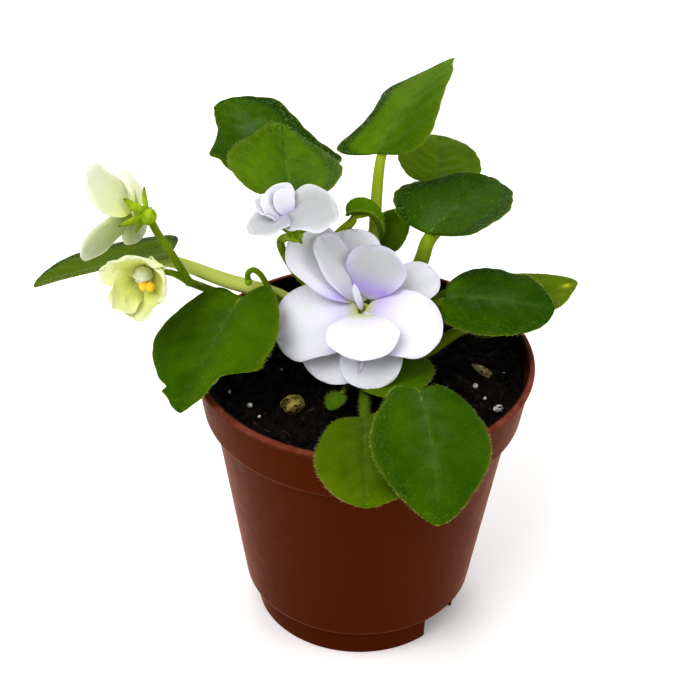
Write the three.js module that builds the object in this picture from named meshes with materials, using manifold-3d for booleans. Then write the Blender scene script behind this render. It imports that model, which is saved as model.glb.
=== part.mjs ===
// Potted African violet: a round plastic nursery pot full of soil, with one rosette of
// heart-shaped leaves and two flower stalks of white double flowers.
// Millimetres, +Z up. Places are measured from the pot's axis at the level it stands on,
// and headings are degrees anticlockwise from +X seen from above.

import * as THREE from 'three';
import { mergeVertices } from 'three/addons/utils/BufferGeometryUtils.js';
import Module from 'manifold-3d';

const wasm = await Module();
wasm.setup();

// Driving dimensions of the pot and its soil
const POT_HEIGHT = 80;
const RIM_RADIUS = 45;
const COLLAR_HEIGHT = 15;
const COLLAR_FOOT_RADIUS = 42.2;
const BODY_TOP_RADIUS = 39.7;
const BODY_FOOT_RADIUS = 31.2;
const FOOT_RING_HEIGHT = 9;
const FOOT_RING_RADIUS = 28;
const FOOT_RING_WIDTH = 1.6;
const WALL = 1.2;
const LIP_DROP = 0.8;
const POT_SIDES = 48;
const NOTCH_WIDTH = 15;
const NOTCH_HEIGHT = 7;
const NOTCH_HEADING = -32;
const DRAIN_RADIUS = 3;
const DRAIN_CIRCLE = 16;
const DRAIN_COUNT = 4;
const SOIL_BELOW_RIM = 6;
const EDGE_BREAK = 0.6;
const SOIL_GAP = 0.4;
const CLEARANCE = 0.3;

// Driving dimensions of the plant
const CROWN_RADIUS = 7;
const CROWN_HEIGHT = 12;
const CROWN_CENTRE = [1.5, 2];
const CROWN_DEPTH_BELOW_SOIL = 12;
const ROOT_SHARE_OF_CROWN = 0.55;
const BLADE_THICKNESS = 0.9;
const PETAL_THICKNESS = 0.7;
const SEPAL_THICKNESS = 0.7;
const PETIOLE_RADIUS = 1.6;
const RIB_END_RADIUS = 0.5;
const STALK_RADIUS = 1.2;
const SHOOT_RADIUS = 0.9;
const STEM_SIDES = 6;
const CALYX_RADIUS = 2.2;
const SEPAL_COUNT = 5;
const SEPAL_LENGTH = 5.5;
const SEPAL_HALF_WIDTH = 0.9;
const SEPAL_RISE = 22;
const ANTHER_RADIUS = 1.3;
const FILAMENT_RADIUS = 0.5;

// Levels worked out from them
const SOIL_LEVEL = POT_HEIGHT - SOIL_BELOW_RIM;
const COLLAR_LEVEL = POT_HEIGHT - COLLAR_HEIGHT;
const FLOOR_LEVEL = FOOT_RING_HEIGHT + WALL;

const WORLD = {
  side: new THREE.Vector3(1, 0, 0),
  front: new THREE.Vector3(0, 1, 0),
  up: new THREE.Vector3(0, 0, 1),
};

function radians(degrees) {
  return THREE.MathUtils.degToRad(degrees);
}

function vector(place) {
  return new THREE.Vector3(...place);
}

// Turns a closed geometry into a solid: seams merged, triangles without area dropped
function solidOf(geometry) {
  const bare = geometry.clone();
  bare.deleteAttribute('normal');
  bare.deleteAttribute('uv');
  const merged = mergeVertices(bare, 1e-4);
  const corners = merged.index.array;
  const kept = [];
  for (let i = 0; i < corners.length; i += 3) {
    const [a, b, c] = corners.slice(i, i + 3);
    if (a !== b && b !== c && c !== a) kept.push(a, b, c);
  }
  const mesh = new wasm.Mesh({
    numProp: 3,
    vertProperties: merged.attributes.position.array,
    triVerts: Uint32Array.from(kept),
  });
  return new wasm.Manifold(mesh);
}

function joined(solids) {
  return solids.reduce((whole, next) => whole.add(next));
}

function geometryOf(solid) {
  const mesh = solid.getMesh();
  const geometry = new THREE.BufferGeometry();
  geometry.setAttribute('position', new THREE.BufferAttribute(mesh.vertProperties, 3));
  geometry.setIndex(new THREE.BufferAttribute(mesh.triVerts, 1));
  geometry.computeVertexNormals();
  return geometry;
}

// A closed mesh from a grid of points: rings of equal length, each ring closed on itself
function skin(rings, triangles) {
  const geometry = new THREE.BufferGeometry().setFromPoints(rings.flat());
  geometry.setIndex(triangles);
  return solidOf(geometry);
}

// A profile of [radius, level] pairs turned round the Z axis
function turned(profile, sides) {
  const points = profile.map(([radius, level]) => new THREE.Vector2(radius, level));
  return new THREE.LatheGeometry(points, sides).rotateX(Math.PI / 2);
}

// A round stem along a smooth curve through the points, its radius changing evenly
function stem(points, startRadius, endRadius, steps = 8, sides = STEM_SIDES) {
  const curve = new THREE.CatmullRomCurve3(points);
  const frames = curve.computeFrenetFrames(steps, false);
  const rings = [];
  for (let i = 0; i <= steps; i += 1) {
    const centre = curve.getPointAt(i / steps);
    const radius = startRadius + (endRadius - startRadius) * (i / steps);
    const ring = [];
    for (let k = 0; k < sides; k += 1) {
      const turn = (2 * Math.PI * k) / sides;
      const out = frames.normals[i].clone().multiplyScalar(Math.cos(turn) * radius);
      out.addScaledVector(frames.binormals[i], Math.sin(turn) * radius);
      ring.push(out.add(centre));
    }
    rings.push(ring);
  }
  const triangles = [];
  for (let i = 0; i < steps; i += 1) {
    for (let k = 0; k < sides; k += 1) {
      const next = (k + 1) % sides;
      const [a, b] = [i * sides + k, i * sides + next];
      triangles.push(a, b, b + sides, a, b + sides, a + sides);
    }
  }
  const last = steps * sides;
  for (let k = 1; k < sides - 1; k += 1) {
    triangles.push(0, k + 1, k);
    triangles.push(last, last + k, last + k + 1);
  }
  return skin(rings, triangles);
}

// A thin blade: a surface of (along, across) moved half its thickness to each side, with
// both faces split into triangles alike and a narrow band round the margin
function blade(surface, rows, columns, thickness, ease = 1) {
  const nudge = 0.004;
  const upper = [];
  const lower = [];
  for (let r = 0; r <= rows; r += 1) {
    const along = (r / rows) ** ease;
    const steady = THREE.MathUtils.clamp(along, 0.03, 0.97);
    const atEnd = r === 0 || r === rows;
    for (let c = 0; c <= columns; c += 1) {
      const across = (2 * c) / columns - 1;
      const inward = atEnd ? 0 : THREE.MathUtils.clamp(across, -0.99, 0.99);
      const forward = surface(steady + nudge, inward).sub(surface(steady - nudge, inward));
      const sideways = surface(steady, inward + nudge).sub(surface(steady, inward - nudge));
      const out = sideways.cross(forward).setLength(thickness / 2);
      const point = surface(along, across);
      upper.push(point.clone().add(out));
      lower.push(point.clone().sub(out));
    }
  }
  const shift = upper.length;
  const triangles = [];
  const wide = columns + 1;
  for (let r = 0; r < rows; r += 1) {
    for (let c = 0; c < columns; c += 1) {
      const a = r * wide + c;
      const [b, d, e] = [a + 1, a + wide + 1, a + wide];
      triangles.push(a, b, d, a, d, e);
      triangles.push(a + shift, d + shift, b + shift, a + shift, e + shift, d + shift);
    }
    const left = r * wide;
    const right = left + columns;
    triangles.push(left, left + wide, left + wide + shift, left, left + wide + shift, left + shift);
    triangles.push(right, right + wide + shift, right + wide);
    triangles.push(right, right + shift, right + wide + shift);
  }
  return skin([upper, lower], triangles);
}

// The middle surface of a leaf or a petal, from its base (along 0) to its tip (along 1) and
// from its left edge (across -1) to its right (across 1). Its half width is a sine with its
// widest place set by belly, narrowed to a tip by point and varied by three ripples on each
// side. Basal lobes hang back behind the base. Each half is folded and cupped, and the whole
// is twisted and bent on an arc, then aimed by heading, rise and roll in the given frame.
function surfaceOf(shape, frame) {
  const lift = radians(shape.rise);
  const heading = radians(shape.heading);
  const roll = radians(shape.roll ?? 0);
  const level = frame.side.clone().multiplyScalar(Math.cos(heading));
  level.addScaledVector(frame.front, Math.sin(heading));
  const ahead = level.clone().multiplyScalar(Math.cos(lift));
  ahead.addScaledVector(frame.up, Math.sin(lift));
  const over = frame.up.clone().multiplyScalar(Math.cos(lift));
  over.addScaledVector(level, -Math.sin(lift));
  const beside = ahead.clone().cross(over);
  const face = over.clone().multiplyScalar(Math.cos(roll)).addScaledVector(beside, Math.sin(roll));
  const right = beside.clone().multiplyScalar(Math.cos(roll)).addScaledVector(over, -Math.sin(roll));
  const lobes = shape.lobe ?? [0, 0];
  const ripples = shape.margin ?? [[0, 0, 0], [0, 0, 0]];
  return (along, across) => {
    const side = across < 0 ? 0 : 1;
    const share = Math.abs(across);
    const swing = Math.PI * along;
    const [second, third, fourth] = ripples[side];
    let reach = Math.sin(Math.PI * along ** shape.belly) * (1 - (shape.point ?? 0) * along ** 6);
    reach *= 1 + second * Math.sin(2 * swing) + third * Math.sin(3 * swing)
      + fourth * Math.sin(4 * swing);
    const out = shape.halfWidth[side] * reach * share;
    const lobe = 3.3 * lobes[side] * Math.sin(swing) * (1 - along) ** 3 * share;
    const forth = (shape.length * (1 - Math.cos(swing))) / 2 - lobe;
    const raise = radians(shape.fold[side] + (shape.cup[side] * reach * share) / 2);
    const flat = Math.sign(across) * out * Math.cos(raise);
    const high = out * Math.sin(raise);
    const twist = (radians(shape.twist ?? 0) * forth) / shape.length;
    const x = flat * Math.cos(twist) - high * Math.sin(twist);
    const z = flat * Math.sin(twist) + high * Math.cos(twist);
    const arc = (radians(shape.bend) * forth) / shape.length;
    const y = forth * Math.cos(arc / 2) + z * Math.sin(arc);
    const w = z * Math.cos(arc) - forth * Math.sin(arc / 2);
    const point = vector(shape.base).addScaledVector(right, x);
    return point.addScaledVector(ahead, y).addScaledVector(face, w);
  };
}

// The pot: a body that narrows to a notched foot ring, under a collar with a rolled lip
function potSolid() {
  const ringInner = FOOT_RING_RADIUS - FOOT_RING_WIDTH;
  const lipRadius = RIM_RADIUS - LIP_DROP;
  const pot = solidOf(turned([
    [0, FOOT_RING_HEIGHT],
    [ringInner, FOOT_RING_HEIGHT],
    [ringInner, 0],
    [FOOT_RING_RADIUS - EDGE_BREAK / 2, 0],
    [FOOT_RING_RADIUS, FOOT_RING_HEIGHT - EDGE_BREAK],
    [BODY_FOOT_RADIUS - EDGE_BREAK, FOOT_RING_HEIGHT],
    [BODY_FOOT_RADIUS, FOOT_RING_HEIGHT + EDGE_BREAK],
    [BODY_TOP_RADIUS, COLLAR_LEVEL - EDGE_BREAK],
    [COLLAR_FOOT_RADIUS - EDGE_BREAK, COLLAR_LEVEL],
    [COLLAR_FOOT_RADIUS, COLLAR_LEVEL + EDGE_BREAK],
    [lipRadius, POT_HEIGHT - 3 * LIP_DROP],
    [RIM_RADIUS, POT_HEIGHT - 2 * LIP_DROP],
    [RIM_RADIUS, POT_HEIGHT - LIP_DROP],
    [lipRadius, POT_HEIGHT],
    [lipRadius - WALL, POT_HEIGHT - EDGE_BREAK / 2],
    [COLLAR_FOOT_RADIUS - WALL, COLLAR_LEVEL + EDGE_BREAK],
    [BODY_TOP_RADIUS - WALL, COLLAR_LEVEL - 2 * EDGE_BREAK],
    [BODY_FOOT_RADIUS - WALL, FLOOR_LEVEL],
    [0, FLOOR_LEVEL],
  ], POT_SIDES));
  const notch = new THREE.BoxGeometry(4 * FOOT_RING_RADIUS, NOTCH_WIDTH, NOTCH_HEIGHT * 2);
  let cut = pot.subtract(solidOf(notch.rotateZ(radians(NOTCH_HEADING))));
  for (let i = 0; i < DRAIN_COUNT; i += 1) {
    const heading = radians((360 * (i + 0.5)) / DRAIN_COUNT);
    const hole = new THREE.CylinderGeometry(DRAIN_RADIUS, DRAIN_RADIUS, 4 * WALL, 16);
    hole.rotateX(Math.PI / 2);
    hole.translate(DRAIN_CIRCLE * Math.cos(heading), DRAIN_CIRCLE * Math.sin(heading), FLOOR_LEVEL);
    cut = cut.subtract(solidOf(hole));
  }
  return cut;
}

// How far the crumbled surface of the soil stands above its level at a place
function soilRelief(x, y) {
  const broad = Math.sin(0.21 * x + 0.6) * Math.cos(0.17 * y - 0.4);
  const lumps = Math.sin(0.83 * x + 1.3 * Math.sin(0.5 * y)) * Math.cos(0.71 * y + 0.9);
  const crumbs = Math.sin(1.9 * x - 0.7 * y) * Math.sin(1.6 * y + 0.8 * x);
  return 0.9 * broad + 0.6 * lumps + 0.4 * crumbs;
}

// The soil: it fills the pot to just under the lip, with a crumbled top
function soilSolid() {
  const outer = COLLAR_FOOT_RADIUS - WALL - SOIL_GAP;
  const edge = outer + (SOIL_LEVEL - COLLAR_LEVEL) * 0.12;
  const surface = [38, 33, 28, 23, 17, 11, 0].map((radius) => [radius, SOIL_LEVEL]);
  const soil = turned([
    [0, FLOOR_LEVEL + SOIL_GAP],
    [BODY_FOOT_RADIUS - WALL - SOIL_GAP, FLOOR_LEVEL + SOIL_GAP],
    [BODY_TOP_RADIUS - WALL - SOIL_GAP, COLLAR_LEVEL - EDGE_BREAK],
    [outer, COLLAR_LEVEL + 3 * EDGE_BREAK],
    [edge, SOIL_LEVEL - EDGE_BREAK],
    ...surface,
  ], 36);
  const places = soil.attributes.position;
  for (let i = 0; i < places.count; i += 1) {
    const level = places.getZ(i);
    if (level > SOIL_LEVEL - 1) {
      places.setZ(i, level + soilRelief(places.getX(i), places.getY(i)));
    }
  }
  return solidOf(soil);
}

// The crown: the short stem in the soil that every petiole and stalk grows from
function crownSolid(swell = 0) {
  const r = CROWN_RADIUS + swell;
  const top = SOIL_LEVEL + CROWN_HEIGHT + swell;
  const foot = SOIL_LEVEL - CROWN_DEPTH_BELOW_SOIL - swell;
  const crown = turned([
    [0, foot],
    [0.6 * r, foot],
    [0.8 * r, SOIL_LEVEL - 5],
    [r, SOIL_LEVEL + 2],
    [0.93 * r, SOIL_LEVEL + 7],
    [0.6 * r, top - 1.5],
    [0, top],
  ], 16);
  crown.translate(CROWN_CENTRE[0], CROWN_CENTRE[1], 0);
  return solidOf(crown);
}

// Place on the crown, heading and level given, that a petiole or stalk grows out from
function root(heading, level) {
  const turn = radians(heading);
  const deep = ROOT_SHARE_OF_CROWN * CROWN_RADIUS;
  return new THREE.Vector3(
    CROWN_CENTRE[0] + deep * Math.cos(turn),
    CROWN_CENTRE[1] + deep * Math.sin(turn),
    SOIL_LEVEL + level,
  );
}

// Leaves. The petiole runs from its root on the crown, through any stations, to the base.
const leaves = {
  leaf_back_left: {
    root: [125, 6],
    stations: [[-11, 22.5, 98.6]],
    base: [-18.5, 34, 115],
    heading: 138.5,
    rise: 19.5,
    roll: -5,
    length: 32,
    halfWidth: [15, 14],
    lobe: [8, 6.5],
    belly: 0.71,
    point: 0.56,
    bend: 2,
    twist: 10,
    fold: [5.5, 7.5],
    cup: [-2, 2],
    margin: [[0.04, -0.09, 0.06], [-0.08, 0.1, 0.08]],
  },
  leaf_upper_left: {
    root: [152, 9],
    stations: [[-10, 9.5, 98], [-17, 12.5, 112]],
    base: [-19.5, 11.5, 120.8],
    heading: 98,
    rise: -5.5,
    roll: 5,
    length: 34,
    halfWidth: [16, 13],
    lobe: [8, 7],
    belly: 0.68,
    point: 0.7,
    bend: -21,
    twist: -17,
    fold: [15, 15],
    cup: [12, 18],
    margin: [[0.075, -0.08, -0.07], [0.06, -0.1, -0.01]],
  },
  leaf_top: {
    root: [88, 8],
    stations: [[2, 19, 110]],
    base: [2, 24, 127],
    heading: 63,
    rise: 34,
    roll: -30,
    length: 36.5,
    halfWidth: [16, 17],
    lobe: [1.5, 3],
    belly: 0.68,
    point: 0.49,
    bend: 27,
    twist: 9,
    fold: [0, 5.5],
    cup: [9, -5],
    margin: [[-0.03, 0.16, 0.1], [-0.06, 0.03, -0.02]],
    stemRadius: 1.9,
  },
  leaf_upper_right: {
    root: [54, 3.2],
    stations: [[13.8, 16.5, 98.2], [17.5, 28, 103.5]],
    base: [17, 36.5, 110.7],
    heading: 86,
    rise: 3,
    roll: 9,
    length: 27,
    halfWidth: [11.5, 12],
    lobe: [4.5, 3],
    belly: 0.75,
    point: 0.51,
    bend: 7,
    twist: 6,
    fold: [13, 9],
    cup: [6, 0],
    margin: [[-0.02, -0.03, 0], [0, -0.03, 0]],
  },
  leaf_right_dark: {
    root: [33, 9.5],
    stations: [[14, 10.5, 102.3]],
    base: [15.5, 9, 112.2],
    heading: 61,
    rise: -2,
    roll: -4,
    length: 35.5,
    halfWidth: [13.5, 17],
    lobe: [1, 4],
    belly: 0.76,
    point: 0.37,
    bend: -3,
    twist: -6,
    fold: [14, 16],
    cup: [8, -5],
    margin: [[0.01, -0.04, -0.07], [-0.02, 0, 0.03]],
    stemRadius: 2.1,
  },
  leaf_right: {
    root: [-8, 7.5],
    stations: [[14, 2, 92]],
    base: [20.6, 3.1, 96.6],
    heading: -3,
    rise: 4.5,
    roll: 2,
    length: 28.5,
    halfWidth: [13, 14],
    lobe: [0.5, 3],
    belly: 0.81,
    point: 0.41,
    bend: 17,
    twist: -15,
    fold: [0, 1],
    cup: [-3, -5],
    margin: [[-0.05, -0.015, -0.035], [-0.015, 0.015, -0.02]],
  },
  leaf_far_right: {
    root: [10, 3],
    stations: [[15, 3, 78.6], [24.5, 5.5, 84.5]],
    base: [28.5, 6, 88],
    heading: 32,
    rise: 7,
    roll: -2,
    length: 33.5,
    halfWidth: [15, 11],
    lobe: [10, 6],
    belly: 0.71,
    point: 0.51,
    bend: 8,
    twist: 5,
    fold: [6, 6.5],
    cup: [-1, -3],
    margin: [[0, 0, 0], [0.02, -0.025, 0]],
  },
  leaf_front: {
    root: [-60, 3.5],
    stations: [[9.5, -16, 78.8]],
    base: [13.5, -28.2, 89],
    heading: -78,
    rise: -5,
    roll: -18,
    length: 39,
    halfWidth: [14.7, 15.2],
    lobe: [7, 0.5],
    belly: 0.84,
    point: 0.64,
    bend: 30,
    twist: -16,
    fold: [1, 11.5],
    cup: [-4.5, -5],
    margin: [[0.005, -0.11, 0.005], [-0.13, -0.1, 0.015]],
  },
  leaf_front_left: {
    root: [-95, 3.2],
    stations: [[0.5, -16, 78.2]],
    base: [0.5, -30, 81.7],
    heading: -89,
    rise: 1.5,
    roll: 1,
    length: 33.5,
    halfWidth: [16, 12],
    lobe: [9, 1.5],
    belly: 0.8,
    point: 0.38,
    bend: 9,
    twist: -2,
    fold: [-0.5, -2],
    cup: [-3, -4],
    margin: [[-0.03, 0.02, 0], [-0.1, 0, -0.01]],
  },
  leaf_left: {
    root: [198, 2.5],
    stations: [[-16, 1.5, 87.5]],
    base: [-32.5, 4, 94],
    heading: 245,
    rise: -19,
    roll: 26,
    length: 37,
    halfWidth: [17, 16.5],
    lobe: [5.5, 5.5],
    belly: 0.82,
    point: 0.6,
    bend: 8,
    twist: 4,
    fold: [14.5, 9],
    cup: [-35, 4.5],
    margin: [[0.015, -0.19, 0.02], [0.075, -0.105, 0.03]],
  },
  leaf_far_left: {
    root: [166, 5.2],
    stations: [[-21, 8, 91.5], [-37.3, 11.5, 95]],
    base: [-51.4, 14, 101],
    heading: 202,
    rise: -2,
    roll: 15,
    length: 36.5,
    halfWidth: [12, 15],
    lobe: [0, 7.5],
    belly: 0.73,
    point: 0.5,
    bend: 2,
    twist: -5,
    fold: [14, 7],
    cup: [-5, -2],
    margin: [[0, 0, 0], [-0.04, 0.05, 0.05]],
    stemRadius: 2.1,
  },
  leaf_arched: {
    root: [118, 12],
    stations: [[-6, 9, 97], [-8.8, 10.5, 107]],
    base: [-5.2, 11, 115.8],
    heading: 0,
    rise: 50,
    length: 10.2,
    halfWidth: [3.4, 3.4],
    lobe: [0, 0],
    belly: 0.85,
    point: 0.3,
    bend: 170,
    fold: [30, 30],
    cup: [10, 10],
    stemRadius: 1.4,
  },
  leaf_young_right: {
    root: [74, 6],
    stations: [[6, 13, 89]],
    base: [5.5, 19, 100.8],
    heading: 60,
    rise: 45,
    length: 12.5,
    halfWidth: [6, 5.5],
    lobe: [0.5, 0.5],
    belly: 0.8,
    point: 0.3,
    bend: 15,
    fold: [12, 12],
    cup: [10, 10],
    stemRadius: 1,
  },
  leaf_under_flower: {
    root: [-20, 6],
    stations: [],
    base: [6.2, -4.6, 81.3],
    heading: -88,
    rise: 0,
    length: 13.4,
    halfWidth: [11.8, 11.8],
    lobe: [0, 0],
    belly: 0.8,
    point: 0.2,
    bend: 0,
    fold: [3, 3],
    cup: [0, 0],
  },
  leaf_tiny: {
    root: [225, 3.5],
    stations: [],
    base: [-5.8, -16.5, 79.4],
    heading: 240,
    rise: -10,
    length: 6,
    halfWidth: [2.6, 2.6],
    belly: 0.8,
    bend: 20,
    fold: [5, 5],
    cup: [0, 0],
    stemRadius: 0.8,
  },
};

// One leaf: its blade, and its petiole that runs on under the blade as the midrib
function leafSolid(leaf) {
  const surface = surfaceOf(leaf, WORLD);
  const radius = leaf.stemRadius ?? PETIOLE_RADIUS;
  const under = (along, depth) => {
    const ahead = surface(along + 0.01, 0).sub(surface(along - 0.01, 0));
    const sideways = surface(along, 0.2).sub(surface(along, -0.2));
    return surface(along, 0).addScaledVector(sideways.cross(ahead).normalize(), -depth);
  };
  const route = [root(...leaf.root), ...leaf.stations.map(vector)];
  route.push(under(0.02, radius), under(0.25, 0.7 * radius), under(0.5, BLADE_THICKNESS / 2));
  const rows = leaf.length > 20 ? 10 : 5;
  const sheet = blade(surface, rows, 4, BLADE_THICKNESS, 1.35);
  return sheet.add(stem(route, radius, RIB_END_RADIUS, 9));
}

// The frame of a flower that faces along a heading and a rise: side and front lie across it
function flowerFrame(heading, rise) {
  const turn = radians(heading);
  const lift = radians(rise);
  const up = new THREE.Vector3(
    Math.cos(lift) * Math.cos(turn),
    Math.cos(lift) * Math.sin(turn),
    Math.sin(lift),
  );
  const front = WORLD.up.clone().addScaledVector(up, -up.z).normalize();
  return { side: front.clone().cross(up), front, up };
}

// Flowers. A petal's heading is its turn round the flower's axis, and its rise is how far it
// stands up from the flower's plane. Start and layer are where its base lies: out from the
// axis and along it. The heart is the radius of the short tube that the petals grow from.
const flowers = {
  open: {
    throat: [-0.9, -4, 96.4],
    facing: [-90, 56],
    heart: 3.4,
    petals: [
      { heading: 194, rise: -3, roll: 8, length: 21, width: 11, belly: 1.05, bend: 28, cup: 14 },
      { heading: 338, rise: 4.5, length: 20.2, width: 9.8, belly: 1.05, bend: -2, start: 1.6, layer: -0.4 },
      { heading: 272, rise: 14, length: 13.6, width: 9.8, belly: 1.18, bend: -4, cup: 22, layer: 2.2 },
      { heading: 236, rise: -9, length: 17.6, width: 9, belly: 1.14, bend: 4, layer: -2.6 },
      { heading: 281, rise: -4, length: 17.6, width: 8.3, belly: 1.22, bend: 7, layer: -2.2 },
      { heading: 68, rise: 38, roll: 5, length: 15, width: 8.1, belly: 1.23, bend: -10, start: 3.7 },
      { heading: 31, rise: 7, length: 20, width: 6.3, belly: 1.23, bend: 7, layer: -2 },
      { heading: 125, rise: 41, roll: 8, length: 19, width: 5, belly: 1.3, bend: 5, start: 3 },
      { heading: 136, rise: 28, length: 23.6, width: 8, belly: 1.43, bend: 5, start: 3.2 },
      { heading: 98, rise: 26, length: 19.5, width: 8, belly: 1.3, bend: 8, layer: -1.2 },
      { heading: 110, rise: 55, length: 7.5, width: 1.3, belly: 1, cup: 40, start: 1 },
      { heading: 200, rise: 60, length: 5, width: 1.2, belly: 1, cup: 40, start: 1 },
      { heading: 320, rise: 50, length: 4.5, width: 1.4, belly: 1, cup: 40, start: 1 },
    ],
  },
  upper: {
    throat: [-19.9, -2.7, 121.9],
    facing: [-120, 72],
    heart: 2.6,
    petals: [
      { heading: 43, rise: 15, roll: 4, length: 12, width: 8, belly: 1.13, bend: 23, start: 1.2 },
      { heading: 221, rise: 13, length: 12, width: 6, belly: 1.2, start: 1.2 },
      { heading: 156, rise: 30, length: 9.6, width: 5, belly: 1.27, bend: 10, start: 1.4 },
      { heading: 114, rise: 66, length: 10, width: 5.4, belly: 1.28, bend: -10, start: 1.2 },
      { heading: 285, rise: 16, length: 6, width: 5, belly: 1.25, start: 1.6 },
      { heading: 170, rise: 62, length: 7.5, width: 3.4, belly: 1.2, bend: -10, cup: 30, start: 1 },
    ],
  },
  nodding: {
    throat: [-58, -2.7, 123.6],
    facing: [143, 0],
    heart: 2.2,
    sepals: { length: 8, halfWidth: 1.3, rise: 42 },
    petals: [
      { heading: 52, rise: 23, roll: 22, length: 17, width: 5.8, belly: 1, cup: 24, start: 1 },
      { heading: 119, rise: 41, length: 10.5, width: 6.6, belly: 1.26, bend: -7, start: 1 },
      { heading: -38, rise: 22, length: 17, width: 5, belly: 1.05, bend: 2, start: 1 },
      { heading: -110, rise: 24, length: 11, width: 5, belly: 1.23, bend: 20, start: 1.4 },
      { heading: 178, rise: 50, length: 10, width: 5, belly: 1.2, bend: -10, start: 1 },
    ],
  },
  bud: {
    throat: [-56, -5, 105.6],
    facing: [-97, 20],
    heart: 2.4,
    petals: [
      { heading: 96, rise: 44, length: 17, width: 7.5, belly: 1.1, bend: -45, cup: 40, start: 1.4 },
      { heading: 14, rise: 33, length: 15, width: 6.6, belly: 1.1, bend: -62, cup: 45, start: 1.4 },
      { heading: 174, rise: 23, length: 10.5, width: 4, belly: 1, bend: 0, cup: 40, start: 1.4 },
      { heading: 228, rise: 34, length: 14, width: 4.8, belly: 1.2, bend: -58, cup: 45, start: 1.4 },
      { heading: 276, rise: 26, length: 12.4, width: 5, belly: 1.2, bend: -50, cup: 45, start: 1.4 },
      { heading: 105, rise: 78, length: 10.5, width: 4.2, belly: 1.1, bend: -25, cup: 60, start: 1.2 },
    ],
  },
};

// What a petal's entry leaves out
const plainPetal = { roll: 0, bend: 8, cup: 15, fold: 5, start: 2.5, layer: 0 };

function petalSolid(entry, throat, frame) {
  const petal = { ...plainPetal, ...entry };
  const turn = radians(petal.heading);
  const base = vector(throat).addScaledVector(frame.side, petal.start * Math.cos(turn));
  base.addScaledVector(frame.front, petal.start * Math.sin(turn));
  base.addScaledVector(frame.up, petal.layer);
  const shape = {
    ...petal,
    base: base.toArray(),
    halfWidth: [petal.width, petal.width],
    fold: [petal.fold, petal.fold],
    cup: [petal.cup, petal.cup],
  };
  const rows = petal.length > 14 ? 6 : petal.length > 8 ? 5 : 3;
  return blade(surfaceOf(shape, frame), rows, petal.length > 8 ? 4 : 2, PETAL_THICKNESS);
}

// A small rounded lump, flattened or drawn out along a direction
function lump(centre, radius, stretch, direction) {
  const ball = new THREE.IcosahedronGeometry(radius, 1).scale(1, 1, stretch);
  const turn = new THREE.Quaternion().setFromUnitVectors(WORLD.up, direction);
  return solidOf(ball.applyQuaternion(turn).translate(...centre.toArray()));
}

function corollaSolid(flower) {
  const frame = flowerFrame(...flower.facing);
  const centre = vector(flower.throat).addScaledVector(frame.up, -0.35 * flower.heart);
  const petals = flower.petals.map((entry) => petalSolid(entry, flower.throat, frame));
  return joined([lump(centre, flower.heart, 0.8, frame.up), ...petals]);
}

// Where the calyx sits: behind the tube of the petals, clear of it
function calyxCentre(flower) {
  const { up } = flowerFrame(...flower.facing);
  const back = 1.15 * flower.heart + CALYX_RADIUS * 0.8 + CLEARANCE;
  return vector(flower.throat).addScaledVector(up, -back);
}

// The green cup behind a flower with its five pointed sepals
function calyxSolid(flower) {
  const frame = flowerFrame(...flower.facing);
  const centre = calyxCentre(flower);
  const size = { length: SEPAL_LENGTH, halfWidth: SEPAL_HALF_WIDTH, rise: SEPAL_RISE, ...flower.sepals };
  const parts = [lump(centre, CALYX_RADIUS, 0.8, frame.up)];
  for (let i = 0; i < SEPAL_COUNT; i += 1) {
    const sepal = {
      base: centre.toArray(),
      heading: 36 + (360 * i) / SEPAL_COUNT,
      rise: size.rise,
      length: size.length,
      halfWidth: [size.halfWidth, size.halfWidth],
      belly: 0.7,
      point: 0.6,
      bend: 10,
      fold: [10, 10],
      cup: [10, 10],
    };
    parts.push(blade(surfaceOf(sepal, frame), 3, 2, SEPAL_THICKNESS));
  }
  return joined(parts);
}

// A stem that starts at a place and runs smoothly on through further places
function stemThrough(start, places, radii, steps, sides) {
  return stem([start, ...places.map(vector)], ...radii, steps, sides);
}

// The stalk of the two middle flowers: one pedicel to each from a shared root
function middleStalk() {
  const foot = root(230, 10.5);
  const open = calyxCentre(flowers.open).toArray();
  const upper = calyxCentre(flowers.upper).toArray();
  const radii = [STALK_RADIUS, STALK_RADIUS];
  return joined([
    stemThrough(foot, [[-0.9, -0.9, 88], open], radii, 4),
    calyxSolid(flowers.open),
    stemThrough(foot, [[-8, 2.8, 91.5], [-18.5, 7, 101], [-22.3, 6.8, 109.5], upper], radii, 9),
    calyxSolid(flowers.upper),
  ]);
}

// The long stalk on the left: it forks to the nodding flower and to the half-open bud
function leftStalk() {
  const fork = [-46, 6, 97.5];
  const nodding = calyxCentre(flowers.nodding).toArray();
  const bud = calyxCentre(flowers.bud).toArray();
  const path = [[-16, 8, 82.5], [-30, 12, 87], [-42, 14, 90.4], fork];
  return joined([
    stemThrough(root(160, 1), path, [1.3 * STALK_RADIUS, STALK_RADIUS], 9),
    lump(vector(fork), 1.2 * STALK_RADIUS, 1, WORLD.up),
    stemThrough(vector(fork), [[-49.5, -0.5, 109.8], [-52.6, -2.5, 117], nodding],
      [STALK_RADIUS, 0.9 * STALK_RADIUS], 7),
    calyxSolid(flowers.nodding),
    stemThrough(vector(fork), [[-50, 1.5, 103], [-54, -1.5, 105], bud],
      [0.9 * STALK_RADIUS, 0.7 * STALK_RADIUS], 7),
    calyxSolid(flowers.bud),
  ]);
}

// A young flower shoot whose tip still curls over into a loop
function youngShoot() {
  const rising = [[-14, 3.5, 90], [-24, 4.8, 95], [-26, 5, 98.5]];
  const loop = [[-27.6, 5, 101.3], [-29.3, 5, 102.4], [-30.6, 5, 101.3], [-30.5, 5, 98.8]];
  const radii = [SHOOT_RADIUS, 0.8 * SHOOT_RADIUS];
  return stemThrough(root(183, 8.5), [...rising, ...loop], radii, 26, 5);
}

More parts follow.
